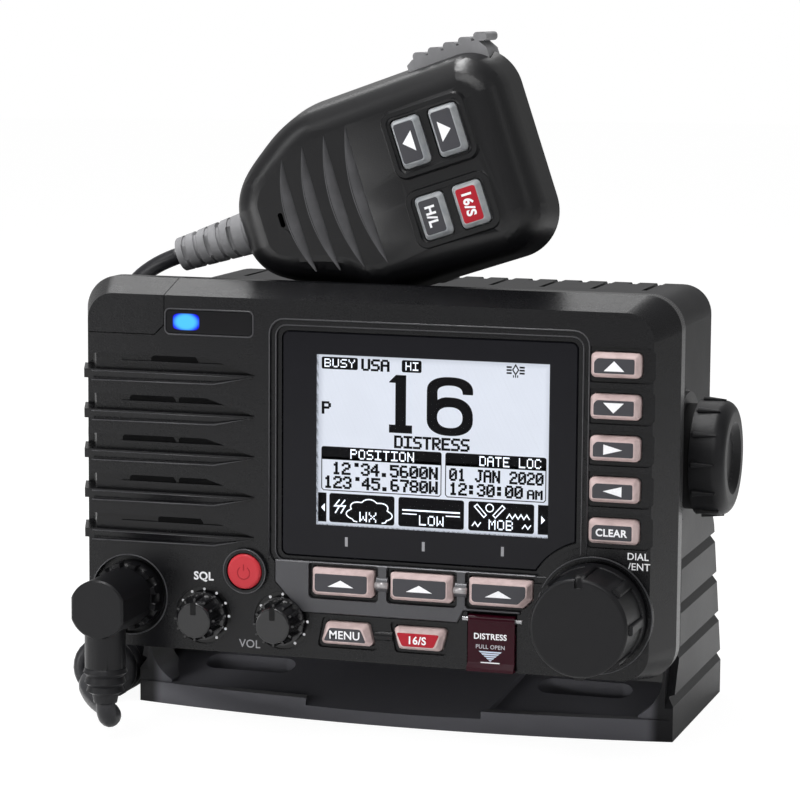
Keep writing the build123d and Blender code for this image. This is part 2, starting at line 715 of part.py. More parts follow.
for name, x, cuts in zip(("softkey_left", "softkey_middle", "softkey_right"), SOFT_X, SOFT_CUTS):
    key = key_part(
        soft_key_outline(x, 0, *cuts),
        soft_key_outline(x, -KEY_DRAFT, *cuts),
        soft_key_outline(x, KEY_FLANGE, *cuts),
        KEY_PROUD,
    )
    key.label = name
    export_step(key, f"parts/{name}.step")

for name, x in (("key_menu", MENU_X), ("key_channel16", CH16_X)):
    key = key_part(
        lower_key_outline(x, 0),
        lower_key_outline(x, -KEY_DRAFT),
        lower_key_outline(x, KEY_FLANGE),
        KEY_PROUD,
    )
    key.label = name
    export_step(key, f"parts/{name}.step")

with BuildPart() as power_button:
    with BuildSketch(depth(FACE_T + RUN)):
        with Locations((POWER_X, POWER_Z)):
            Circle(POWER_R)
    extrude(amount=FACE_T + RUN + COLLAR_H + 0.6)
    fillet(power_button.faces().sort_by(Axis.Y)[0].edges(), 1.0)
    with BuildSketch(depth(FACE_T + RUN + KEY_FLANGE_T)):
        with Locations((POWER_X, POWER_Z)):
            Circle(POWER_R + KEY_FLANGE)
    extrude(amount=KEY_FLANGE_T)
power_button.part.label = "power_button"
export_step(power_button.part, "parts/power_button.step")

# === distress switch ====================================================================

COVER_SEAT = WELL_DEPTH - 0.3  # back of the closed cover

with BuildPart() as distress_cover:
    with BuildSketch(Plane.YZ.offset(DISTRESS_X)) as cover_side:
        back_y, front_y = FACE_Y + COVER_SEAT, FACE_Y - COVER_PROUD
        with BuildLine():
            Polyline(
                (back_y, PIN_Z),
                (back_y, COVER_BOTTOM),
                (front_y - 1.2, COVER_BOTTOM),
                (front_y - 1.2, COVER_BOTTOM + 0.9),
                (front_y, COVER_BOTTOM + 2.4),
                (front_y, PIN_Z),
                close=True,
            )
        make_face()
        with Locations((FACE_Y + PIN_DEPTH, PIN_Z)):
            Circle(KNUCKLE_R)
            Circle(PIN_R + SHAFT_RUN, mode=Mode.SUBTRACT)
    extrude(amount=COVER_W / 2, both=True)
distress_cover.part.label = "distress_cover"
export_step(distress_cover.part, "parts/distress_cover.step")

with BuildPart() as distress_pin:
    with Locations(Location((COVER_EDGE_L - 1.4, FACE_Y + PIN_DEPTH, PIN_Z), (0, 90, 0))):
        Cylinder(
            PIN_R,
            COVER_EDGE_R - COVER_EDGE_L + 2.8,
            align=(Align.CENTER, Align.CENTER, Align.MIN),
        )
distress_pin.part.label = "distress_pin"
export_step(distress_pin.part, "parts/distress_pin.step")

with BuildPart() as distress_button:
    with BuildSketch(depth(TUB_DEPTH - 1.6 - 1.9)):
        with Locations((DISTRESS_X, BUTTON_Z)):
            RectangleRounded(BUTTON_W, BUTTON_H, 1.2)
    extrude(amount=TUB_DEPTH - 3.5 - WELL_DEPTH - 0.4)
    fillet(distress_button.faces().sort_by(Axis.Y)[0].edges(), 0.6)
    with BuildSketch(depth(TUB_DEPTH + 1.0)):
        with Locations((DISTRESS_X, BUTTON_Z)):
            Circle(2.0)
    extrude(amount=4.6)
distress_button.part.label = "distress_button"
export_step(distress_button.part, "parts/distress_button.step")

# === dial and level knobs ===============================================================

with BuildPart() as channel_dial:
    with BuildSketch(depth(-DIAL_GAP)):
        with Locations((DIAL_X, DIAL_Z)):
            Circle(DIAL_SKIRT_R)
    extrude(amount=3.2, taper=8)
    with BuildSketch(depth(-DIAL_GAP)):
        with Locations((DIAL_X, DIAL_Z)):
            Circle(DIAL_R + 0.3)
    extrude(amount=DIAL_H - DIAL_GAP, taper=1.2)
    fillet(channel_dial.faces().sort_by(Axis.Y)[0].edges(), 1.2)
    # grip ribs, the lower one longer, and the pointer notch at the top
    with BuildSketch(depth(-DIAL_GAP - 3)):
        with Locations((DIAL_X, DIAL_Z)):
            with PolarLocations(DIAL_R - 0.1, DIAL_RIBS, start_angle=-90):
                RectangleRounded(2.2, 3.0, 0.7)
    extrude(amount=DIAL_H - DIAL_GAP - 5.2)
    with BuildSketch(depth(-DIAL_H + 1.2)):
        with Locations((DIAL_X, DIAL_Z + DIAL_R - 0.6)):
            Rectangle(2.4, 4.4)
    extrude(amount=3, mode=Mode.SUBTRACT)
    with BuildSketch(depth(-DIAL_GAP)):
        with Locations((DIAL_X, DIAL_Z)):
            Circle(DIAL_R - 2.6)
            Circle(DIAL_SHAFT_R + 2.2, mode=Mode.SUBTRACT)
    extrude(amount=DIAL_H - DIAL_GAP - 3, mode=Mode.SUBTRACT)
    with BuildSketch(depth(-DIAL_GAP)):
        with Locations((DIAL_X, DIAL_Z)):
            Circle(DIAL_SHAFT_R + SHAFT_RUN)
    extrude(amount=DIAL_H - DIAL_GAP - 5, mode=Mode.SUBTRACT)
channel_dial.part.label = "channel_dial"
export_step(channel_dial.part, "parts/channel_dial.step")

with BuildPart() as dial_shaft:
    with BuildSketch(depth(BOARD_DEPTH - 1.2)):
        with Locations((DIAL_X, DIAL_Z)):
            Circle(DIAL_SHAFT_R)
    extrude(amount=BOARD_DEPTH - 1.2 + DIAL_H - 5.4)
dial_shaft.part.label = "dial_shaft"
export_step(dial_shaft.part, "parts/dial_shaft.step")


def level_knob(x):
    """Small fluted knob with a pointer notch, bored for its shaft."""
    with BuildPart() as knob:
        with BuildSketch(depth(-0.6)):
            with Locations((x, LEVEL_Z)):
                Circle(LEVEL_KNOB_R)
        extrude(amount=LEVEL_KNOB_H - 0.6, taper=7)
        fillet(knob.faces().sort_by(Axis.Y)[0].edges(), 0.6)
        with BuildSketch(depth(-0.6)):
            with Locations((x, LEVEL_Z)):
                Circle(LEVEL_KNOB_R + 0.9)
        extrude(amount=1.2)
        with BuildSketch(depth(-1.4)):
            with Locations((x, LEVEL_Z)):
                with PolarLocations(LEVEL_KNOB_R - 0.8, LEVEL_RIBS):
                    RectangleRounded(2.4, 1.3, 0.5)
        extrude(amount=LEVEL_KNOB_H - 2.6, taper=3)
        with BuildSketch(depth(-LEVEL_KNOB_H + 0.7)):
            with Locations((x, LEVEL_Z + LEVEL_KNOB_R - 2.4)):
                Rectangle(1.0, 4.0)
        extrude(amount=2, mode=Mode.SUBTRACT)
        with BuildSketch(depth(-0.6)):
            with Locations((x, LEVEL_Z)):
                Circle(LEVEL_SHAFT_R)
        extrude(amount=LEVEL_KNOB_H - 2.6, mode=Mode.SUBTRACT)
    return knob.part


def level_shaft(x):
    """Shaft of a level control, from its body to inside the knob."""
    with BuildPart() as shaft:
        with BuildSketch(depth(BOARD_DEPTH - 1.2)):
            with Locations((x, LEVEL_Z)):
                Circle(LEVEL_SHAFT_R)
        extrude(amount=BOARD_DEPTH - 1.2 + LEVEL_KNOB_H - 2.0)
    return shaft.part


for name, x in (("squelch", SQL_X), ("volume", VOL_X)):
    knob = level_knob(x)
    knob.label = f"{name}_knob"
    export_step(knob, f"parts/{name}_knob.step")
    shaft = level_shaft(x)
    shaft.label = f"{name}_shaft"
    export_step(shaft, f"parts/{name}_shaft.step")

with BuildPart() as control_bodies:
    for x, z, r, side in (
        (SQL_X, LEVEL_Z, LEVEL_SHAFT_R, 12.0),
        (VOL_X, LEVEL_Z, LEVEL_SHAFT_R, 12.0),
        (DIAL_X, DIAL_Z, DIAL_SHAFT_R, 14.0),
    ):
        with BuildSketch(depth(BOARD_DEPTH)):
            with Locations((x, z)):
                RectangleRounded(side, side, 1)
        extrude(amount=4.4)
        with BuildSketch(depth(BOARD_DEPTH)):
            with Locations((x, z)):
                Circle(r + 1.0)
        extrude(amount=BOARD_DEPTH - 0.9)
        with BuildSketch(depth(BOARD_DEPTH - 1.2 - DIAL_PUSH - 0.3)):
            with Locations((x, z)):
                Circle(r + SHAFT_RUN)
        extrude(amount=BOARD_DEPTH, mode=Mode.SUBTRACT)
        with BuildSketch(depth(BOARD_DEPTH - 0.1)):
            with Locations((x, z)):
                Circle(r + SHAFT_RUN)
        extrude(amount=3, mode=Mode.SUBTRACT)
control_bodies.part.label = "control_bodies"
export_step(control_bodies.part, "parts/control_bodies.step")

# === boards, speaker, gasket =============================================================

SPEAKER_X, SPEAKER_Z = -57.0, LOUVRE_ROWS[2]
SPEAKER_R = 24.0

with BuildPart() as front_board:
    with BuildSketch(depth(BOARD_DEPTH + BOARD_T)):
        with BuildLine():
            Polyline((-56, 30.4), (79, 30.4), (79, 122), (-31, 122), (-31, 54), (-56, 54), close=True)
        make_face()
        with Locations(*PANEL_BOSSES):
            Circle(1.2, mode=Mode.SUBTRACT)
        with Locations((DISTRESS_X, BUTTON_Z)):
            Circle(3.4, mode=Mode.SUBTRACT)
    extrude(amount=BOARD_T)
front_board.part.label = "front_board"
export_step(front_board.part, "parts/front_board.step")

with BuildPart() as speaker:
    with BuildSketch(Plane.XY) as speaker_profile:
        with BuildLine():
            Polyline(
                (0, 0.2),
                (SPEAKER_R, 0.2),
                (SPEAKER_R, 2.4),
                (SPEAKER_R - 3, 3.0),
                (12, 12.0),
                (12, 17.0),
                (0, 17.0),
                (0, 9.0),
                (5.5, 8.0),
                (SPEAKER_R - 5, 2.6),
                (SPEAKER_R - 3.6, 1.0),
                (SPEAKER_R - 4.6, 0.9),
                (0, 0.9),
                close=True,
            )
        make_face()
    revolve(axis=Axis.Y)
speaker_solid = speaker.part.rotate(Axis.X, 0).translate((SPEAKER_X, FACE_Y + FACE_T, SPEAKER_Z))
speaker_solid.label = "speaker"
export_step(speaker_solid, "parts/speaker.step")

with BuildPart() as case_gasket:
    with BuildSketch(depth(PANEL_DEPTH - FLANGE_T)):
        with Locations((0, PANEL_MID)):
            RectangleRounded(PANEL_W - 2 * FLANGE_EDGE - 1, PANEL_H - 2 * FLANGE_EDGE - 1, PANEL_R - 4)
            RectangleRounded(PANEL_W - 10.0, PANEL_H - 10.0, PANEL_R - 5, mode=Mode.SUBTRACT)
    extrude(amount=GASKET_T)
case_gasket.part.label = "case_gasket"
export_step(case_gasket.part, "parts/case_gasket.step")

# === rear case ==============================================================================

BOARD_Z = 62.0
BOARD_W = CASE_W - 18.0
BOARD_FRONT_Y = FACE_Y + PANEL_DEPTH + 5.0
BOARD_BACK_Y = CASE_BACK_Y - FIN_DEPTH - CASE_WALL - 1.5
BOARD_POSTS = [
    (side * (BOARD_W / 2 - 5.0), y) for side in (-1, 1) for y in (BOARD_FRONT_Y + 6.0, BOARD_BACK_Y - 4.0)
]
FIN_XS = [FIN_PITCH * (i - (FIN_COUNT - 1) / 2) for i in range(FIN_COUNT)]
SCREW_POSTS = [
    (side * (PANEL_W / 2 - FLANGE_EDGE - 2.6), z) for side in (-1, 1) for z in (PANEL_BOTTOM + 8, PANEL_TOP - 8)
]
AERIAL_X, AERIAL_Z = 52.0, 100.0
GLANDS = ((-54.0, 96.0, 6.0), (-34.0, 96.0, 4.2), (-54.0, 76.0, 4.2))

with BuildPart() as rear_case:
    with BuildSketch(depth(PANEL_DEPTH)):
        with Locations((0, PANEL_MID)):
            RectangleRounded(
                PANEL_W - 2 * FLANGE_EDGE - 2 * FIT, PANEL_H - 2 * FLANGE_EDGE - 2 * FIT, PANEL_R - 3
            )
    extrude(amount=FLANGE_T)
    with BuildSketch(depth(CASE_BACK_DEPTH)):
        with Locations((0, CASE_MID)):
            RectangleRounded(CASE_W, CASE_H, CASE_R)
    extrude(amount=CASE_BACK_DEPTH - PANEL_DEPTH)
    fillet(rear_case.faces().sort_by(Axis.Y)[-1].edges(), 3.0)
    with BuildSketch(depth(CASE_BACK_DEPTH - FIN_DEPTH - CASE_WALL)):
        with Locations((0, CASE_MID)):
            RectangleRounded(CASE_W - 2 * CASE_WALL, CASE_H - 2 * CASE_WALL, CASE_R - CASE_WALL)
    extrude(amount=CASE_BACK_DEPTH, mode=Mode.SUBTRACT)
    # heat sink fins on the back, with a flat pad for the sockets, and grooves on the top
    with BuildSketch(Plane.XY.offset(CASE_BOTTOM + 8)):
        for x in FIN_XS:
            with Locations((x, CASE_BACK_Y)):
                Rectangle(FIN_SLOT, 2 * FIN_DEPTH)
    extrude(amount=CASE_H, mode=Mode.SUBTRACT)
    with BuildSketch(Plane.XY.offset(CASE_TOP - TOP_GROOVE)):
        for x in FIN_XS[::2]:
            with Locations((x, CASE_BACK_Y - TOP_GROOVE_LENGTH / 2)):
                Rectangle(1.6, TOP_GROOVE_LENGTH)
    extrude(amount=10, mode=Mode.SUBTRACT)
    with BuildSketch(depth(CASE_BACK_DEPTH - 1)):
        with Locations((AERIAL_X, AERIAL_Z)):
            RectangleRounded(27, 27, 2)
        with Locations((-45, 87)):
            RectangleRounded(38, 40, 2)
    extrude(amount=FIN_DEPTH + 1)
    with BuildSketch(depth(CASE_BACK_DEPTH + 1)):
        with Locations((AERIAL_X, AERIAL_Z)):
            Circle(8.0)
        for x, z, r in GLANDS:
            with Locations((x, z)):
                Circle(r)
    extrude(amount=FIN_DEPTH + CASE_WALL + 4, mode=Mode.SUBTRACT)
    # bosses inside the sides for the studs of the thumb knobs
    for side in (-1, 1):
        with Locations(Location((side * (CASE_W / 2 - (STUD_IN + 2) / 2), 0, TILT_Z), (0, 90, 0))):
            Cylinder(STUD_R + 5, STUD_IN + 2)
    with Locations(Location((0, 0, TILT_Z), (0, 90, 0))):
        Cylinder(STUD_R + STUD_CLEAR, CASE_W + 10, mode=Mode.SUBTRACT)
    # posts under the main board, holes of the flange screws
    with BuildSketch(Plane.XY.offset(CASE_BOTTOM + CASE_WALL - 0.5)):
        with Locations(*BOARD_POSTS):
            Circle(3.2)
    extrude(amount=BOARD_Z - CASE_BOTTOM - CASE_WALL + 0.5)
    with BuildSketch(depth(PANEL_DEPTH + 1)):
        with Locations(*SCREW_POSTS):
            Circle(1.7)
    extrude(amount=FLANGE_T + 2, mode=Mode.SUBTRACT)
rear_case.part.label = "rear_case"
export_step(rear_case.part, "parts/rear_case.step")

with BuildPart() as case_screws:
    with BuildSketch(depth(PANEL_DEPTH + 2.2)):
        with Locations(*SCREW_POSTS):
            Circle(2.0)
            RegularPolygon(1.2, 6, mode=Mode.SUBTRACT)
    extrude(amount=2.0)
    with BuildSketch(depth(PANEL_DEPTH + 1.2)):
        with Locations(*SCREW_POSTS):
            Circle(2.0)
    extrude(amount=1.2)
    with BuildSketch(depth(PANEL_DEPTH)):
        with Locations(*SCREW_POSTS):
            Circle(1.5)
    extrude(amount=FLANGE_T)
case_screws.part.label = "case_screws"
export_step(case_screws.part, "parts/case_screws.step")

with BuildPart() as main_board:
    with BuildSketch(Plane.XY.offset(BOARD_Z)):
        with Locations((0, (BOARD_FRONT_Y + BOARD_BACK_Y) / 2)):
            Rectangle(BOARD_W, BOARD_BACK_Y - BOARD_FRONT_Y)
    extrude(amount=BOARD_T)
    with BuildSketch(Plane.XY.offset(BOARD_Z + BOARD_T)):
        with Locations((-30, 20), (30, 26)):
            Rectangle(34, 26)
    extrude(amount=6)
main_board.part.label = "main_board"
export_step(main_board.part, "parts/main_board.step")

with BuildPart() as aerial_socket:
    with BuildSketch(depth(CASE_BACK_DEPTH + 2)):
        with Locations((AERIAL_X, AERIAL_Z)):
            RectangleRounded(25, 25, 1.5)
    extrude(amount=2)
    with BuildSketch(depth(CASE_BACK_DEPTH + 13)):
        with Locations((AERIAL_X, AERIAL_Z)):
            Circle(7.9)
    extrude(amount=13 + FIN_DEPTH)
    with BuildSketch(depth(CASE_BACK_DEPTH + 14)):
        with Locations((AERIAL_X, AERIAL_Z)):
            Circle(6.2)
            Circle(2.2, mode=Mode.SUBTRACT)
    extrude(amount=9, mode=Mode.SUBTRACT)
aerial_socket.part.label = "aerial_socket"
export_step(aerial_socket.part, "parts/aerial_socket.step")

with BuildPart() as cable_glands:
    for x, z, r in GLANDS:
        with BuildSketch(depth(CASE_BACK_DEPTH + 1.8)):
            with Locations((x, z)):
                Circle(r + 1.6)
        extrude(amount=1.8)
        with BuildSketch(depth(CASE_BACK_DEPTH + 7)):
            with Locations((x, z)):
                Circle(r - 0.1)
        extrude(amount=7 + FIN_DEPTH)
cable_glands.part.label = "cable_glands"
export_step(cable_glands.part, "parts/cable_glands.step")

# === bracket ====================================================================================


def bowed_outline(front_shift, half, back_y):
    """Plan of the base: straight sides and back, bowed front edge."""
    with BuildSketch() as plan:
        with BuildLine():
            Polyline(
                (-half, BASE_FRONT_Y + front_shift),
                (-half, back_y),
                (half, back_y),
                (half, BASE_FRONT_Y + front_shift),
            )
            ThreePointArc(
                (half, BASE_FRONT_Y + front_shift),
                (0, BASE_BOW_Y + front_shift),
                (-half, BASE_FRONT_Y + front_shift),
            )
        make_face()
    return plan.sketch


GROOVE_ZS = (11.8, 25.0, 38.2, 51.4)
GROOVE_H = 3.0
ARM_BACK_TOP_Y, ARM_BACK_TOP_Z = 46.5, 56.0


def arm_outline():
    """Side view of an arm (Y, Z): wide foot, leaning back edge, round head."""
    with BuildSketch() as side:
        with BuildLine():
            Polyline(
                (BASE_FRONT_Y, 0),
                (BASE_BACK_Y, 0),
                (BASE_BACK_Y, 11.0),
                (ARM_BACK_TOP_Y, ARM_BACK_TOP_Z),
                (HEAD_R * 0.62, TILT_Z + HEAD_R * 0.78),
                (-HEAD_R * 0.9, TILT_Z - HEAD_R * 0.4),
                (BASE_FRONT_Y + 8.0, 52.0),
                (BASE_FRONT_Y + 8.0, 25.0),
                (BASE_FRONT_Y, 10.0),
                close=True,
            )
        make_face()
        with Locations((0, TILT_Z)):
            Circle(HEAD_R)
    return side.sketch


FLOOR_FRONT = SLOT_Z - FLOOR_RISE * (SLOT_Y - BASE_BOW_Y)
SLOTS = [(side * SLOT_X, SLOT_Y) for side in (-1, 1)]


def sloping_block(front_height, top):
    """Block under a floor that rises from the bowed edge and levels off at top."""
    with BuildPart() as block:
        with BuildSketch(Plane.YZ.offset(-BASE_HALF)):
            with BuildLine():
                Polyline(
                    (BASE_BOW_Y - 1, -5),
                    (BASE_BACK_Y + 1, -5),
                    (BASE_BACK_Y + 1, top),
                    (BASE_BOW_Y + (top - front_height) / FLOOR_RISE, top),
                    (BASE_BOW_Y - 1, front_height - FLOOR_RISE),
                    close=True,
                )
            make_face()
        extrude(amount=2 * BASE_HALF)
    return block.part


def middle_outline():
    """Plan of the raised middle: it widens toward the back."""
    back = RAISED_HALF + RAISED_FLARE * (BASE_BACK_Y - BASE_BOW_Y)
    with BuildSketch() as plan:
        with BuildLine():
            Polyline(
                (-RAISED_HALF, BASE_BOW_Y - 1),
                (RAISED_HALF, BASE_BOW_Y - 1),
                (back, BASE_BACK_Y),
                (-back, BASE_BACK_Y),
                close=True,
            )
        make_face()
        add(bowed_outline(0, BASE_HALF, BASE_BACK_Y), mode=Mode.INTERSECT)
    return plan.sketch


with BuildPart() as bracket:
    with BuildSketch():
        add(bowed_outline(0, BASE_HALF, BASE_BACK_Y))
    extrude(amount=FLOOR_TOP + 1)
    add(sloping_block(FLOOR_FRONT, FLOOR_TOP), mode=Mode.INTERSECT)
    # raised middle
    with BuildPart():
        with BuildSketch():
            add(middle_outline())
        extrude(amount=RAISED_TOP + 1)
        add(sloping_block(RAISED_FRONT, RAISED_TOP), mode=Mode.INTERSECT)
    # front lip beside the middle, and pillars at the feet of the arms
    with BuildSketch():
        add(bowed_outline(0, BASE_HALF, BASE_BACK_Y))
        add(bowed_outline(LIP_T, BASE_HALF + 1, BASE_BACK_Y + 1), mode=Mode.SUBTRACT)
        add(middle_outline(), mode=Mode.SUBTRACT)
    extrude(amount=LIP_H)
    with BuildSketch(Plane.XZ.offset(-BASE_FRONT_Y)):
        for side in (-1, 1):
            with BuildLine():
                Polyline(
                    (side * (ARM_INNER - PILLAR), LIP_H + 0.8),
                    (side * (ARM_INNER - PILLAR), 0),
                    (side * (ARM_INNER + 1), 0),
                    (side * (ARM_INNER + 1), PILLAR_TOP),
                    (side * ARM_INNER, PILLAR_TOP),
                )
                ThreePointArc(
                    (side * ARM_INNER, PILLAR_TOP),
                    (side * (ARM_INNER - 0.32 * PILLAR), LIP_H + 0.33 * (PILLAR_TOP - LIP_H)),
                    (side * (ARM_INNER - PILLAR), LIP_H + 0.8),
                )
            make_face()
    extrude(amount=BASE_FRONT_Y - SLOT_Y)
    # hollow underside, with ribs and a sleeve round each slot
    with BuildPart(mode=Mode.SUBTRACT):
        with BuildSketch(Plane.XY.offset(-1)):
            add(bowed_outline(LIP_T, ARM_INNER - BASE_T, BASE_BACK_Y - BASE_T))
            with Locations((0, SLOT_Y + 20)):
                Rectangle(2.4, 2 * BASE_BACK_Y, mode=Mode.SUBTRACT)
                Rectangle(2 * BASE_HALF, 2.4, mode=Mode.SUBTRACT)
            with Locations(*SLOTS):
                SlotOverall(SLOT_LENGTH + 6, SLOT_WIDTH + 6, mode=Mode.SUBTRACT)
        extrude(amount=RAISED_TOP)
        add(sloping_block(FLOOR_FRONT - BASE_T, FLOOR_TOP - BASE_T), mode=Mode.INTERSECT)
    for side in (-1, 1):
        plane = Plane.YZ.offset(side * ARM_INNER)
        with BuildSketch(plane):
            add(arm_outline())
        extrude(amount=side * ARM_T)
        # grooves between the plates of the outer side, and the pad of the head
        with BuildSketch(Plane.XZ.offset(-BASE_BACK_Y - 1)):
            for z in GROOVE_ZS:
                with BuildLine():
                    Polyline(
                        (side * (BASE_HALF + 0.1), z - GROOVE_H / 2),
                        (side * (BASE_HALF - ARM_GROOVE), z + GROOVE_H / 2 - 0.6),
                        (side * (BASE_HALF - ARM_GROOVE), z + GROOVE_H / 2),
                        (side * (BASE_HALF + 0.1), z + GROOVE_H / 2 + 0.5),
                        close=True,
                    )
                make_face()
        extrude(amount=BASE_BACK_Y - BASE_FRONT_Y + 3, mode=Mode.SUBTRACT)
        with BuildSketch(Plane.YZ.offset(side * BASE_HALF)):
            with Locations((0, TILT_Z)):
                Circle(HEAD_R - 0.6)
        extrude(amount=side * HEAD_OUT)
        with BuildSketch(Plane.YZ.offset(side * ARM_INNER)):
            with Locations((0, TILT_Z)):
                Circle(STUD_R + STUD_CLEAR)
        extrude(amount=side * (ARM_T + HEAD_OUT + 1), mode=Mode.SUBTRACT)
    with BuildSketch(Plane.XY.offset(-1)):
        with Locations(*SLOTS):
            SlotOverall(SLOT_LENGTH, SLOT_WIDTH)
    extrude(amount=RAISED_TOP + 4, mode=Mode.SUBTRACT)
bracket.part.label = "bracket"
export_step(bracket.part, "parts/bracket.step")

with BuildPart() as arm_washers:
    for side in (-1, 1):
        with BuildSketch(Plane.YZ.offset(side * HEAD_FACE)):
            with Locations((0, TILT_Z)):
                Circle(WASHER_R)
                Circle(STUD_R + STUD_CLEAR, mode=Mode.SUBTRACT)
        extrude(amount=side * WASHER_T)
arm_washers.part.label = "arm_washers"
export_step(arm_washers.part, "parts/arm_washers.step")


def thumb_knob(side):
    """Thumb knob with raised grip bars and a dished end, bored for its stud."""
    inner = side * KNOB_INNER
    with BuildPart() as knob:
        with BuildSketch(Plane.YZ.offset(inner)):
            with Locations((0, TILT_Z)):
                Circle(KNOB_R - 0.4)
        extrude(amount=side * KNOB_T)
        ends = knob.faces().filter_by(Axis.X)
        fillet((ends.sort_by(Axis.X)[-1] if side > 0 else ends.sort_by(Axis.X)[0]).edges(), 3.6)
        with BuildSketch(Plane.YZ.offset(side * (KNOB_INNER + KNOB_T - 2.2))):
            with Locations((0, TILT_Z)):
                Circle(KNOB_R * 0.5)
        extrude(amount=side * 3, taper=-42, mode=Mode.SUBTRACT)
        with BuildSketch(Plane.YZ.offset(side * (KNOB_INNER + 1.0))):
            with Locations((0, TILT_Z)):
                with PolarLocations(KNOB_R - 0.6, KNOB_BARS):
                    RectangleRounded(2.6, 1.9, 0.8)
        extrude(amount=side * 6.6, taper=6)
        with BuildSketch(Plane.YZ.offset(inner)):
            with Locations((0, TILT_Z)):
                Circle(STUD_R)
        extrude(amount=side * (KNOB_T - 5.5), mode=Mode.SUBTRACT)
    return knob.part


def thumb_stud(side):
    """Threaded stud, drawn plain, from inside the knob into the boss of the case."""
    start = side * (CASE_W / 2 - STUD_IN)
    with BuildPart() as stud:
        with BuildSketch(Plane.YZ.offset(start)):
            with Locations((0, TILT_Z)):
                Circle(STUD_R)
        extrude(amount=side * (KNOB_INNER + KNOB_T - 5.5 - CASE_W / 2 + STUD_IN))
    return stud.part


for name, side in (("left", -1), ("right", 1)):
    knob = thumb_knob(side)
    knob.label = f"thumb_knob_{name}"
    export_step(knob, f"parts/thumb_knob_{name}.step")
    stud = thumb_stud(side)
    stud.label = f"stud_{name}"
    export_step(stud, f"parts/stud_{name}.step")

# === microphone socket and plug =================================================================

with BuildPart() as mic_socket:
    with BuildSketch(depth(BOARD_DEPTH)):
        with Locations((SOCKET_X, SOCKET_Z)):
            Circle(RING_R - 1.4)
    extrude(amount=BOARD_DEPTH - RECESS_DEPTH - 0.2)
    with BuildSketch(depth(FACE_T + RECESS_DEPTH + 1.4)):
        with Locations((SOCKET_X, SOCKET_Z)):
            Circle(RING_R + 0.6)
    extrude(amount=1.4)
mic_socket.part.label = "mic_socket"
export_step(mic_socket.part, "parts/mic_socket.step")

with BuildPart() as plug_body:
    with BuildSketch(depth(RECESS_DEPTH + 0.2)):
        with Locations((SOCKET_X, SOCKET_Z)):
            Circle(RING_R - 2.6)
    extrude(amount=RING_H + 0.2)
    with BuildSketch(depth(-RING_H + RECESS_DEPTH)) as barrel_sketch:
        with Locations((SOCKET_X, SOCKET_Z)):
            Circle(BARREL_R)
            Rectangle(2 * BARREL_FLAT, 3 * BARREL_R, mode=Mode.INTERSECT)
    extrude(amount=BARREL_OUT - RING_H + RECESS_DEPTH)
    chamfer(plug_body.faces().sort_by(Axis.Y)[0].edges(), 0.5)
    with BuildSketch(Plane.XY.offset(NECK_END_Z)):
        with Locations((SOCKET_X, PLUG_Y)):
            Circle(NECK_R)
    extrude(amount=SOCKET_Z - NECK_END_Z)
plug_body.part.label = "plug_body"
export_step(plug_body.part, "parts/plug_body.step")

with BuildPart() as plug_ring:
    with BuildSketch(depth(RECESS_DEPTH - 0.4)):
        with Locations((SOCKET_X, SOCKET_Z)):
            Circle(RING_R)
            Circle(RING_R - 2.6 + SHAFT_RUN, mode=Mode.SUBTRACT)
    extrude(amount=RING_H - 0.7)
    with BuildSketch(depth(-RING_H + RECESS_DEPTH + 3.4)):
        with Locations((SOCKET_X, SOCKET_Z)):
            with PolarLocations(RING_R, 12):
                Rectangle(2.8, 2.6)
    extrude(amount=4, mode=Mode.SUBTRACT)
plug_ring.part.label = "plug_ring"
export_step(plug_ring.part, "parts/plug_ring.step")

with BuildPart() as plug_boot:
    with BuildSketch(Plane.XZ) as boot_profile:
        with BuildLine():
            Polyline(
                (0, NECK_END_Z),
                (NECK_R, NECK_END_Z),
                (NECK_R + 0.5, NECK_END_Z - 1.4),
                (NECK_R - 0.6, NECK_END_Z - 2.6),
                (NECK_R + 0.1, NECK_END_Z - 4.4),
                (NECK_R - 1.0, NECK_END_Z - 5.4),
                (NECK_R - 0.4, NECK_END_Z - 7.0),
                (SLEEVE_R, BOOT_END_Z + 1.2),
                (SLEEVE_R - 0.5, SLEEVE_END_Z),
                (0, SLEEVE_END_Z),
                close=True,
            )
        make_face()
    revolve(axis=Axis.Z)
boot_solid = plug_boot.part.translate((SOCKET_X, PLUG_Y, 0))
boot_solid.label = "plug_boot"
export_step(boot_solid, "parts/plug_boot.step")

# === hand microphone =============================================================================


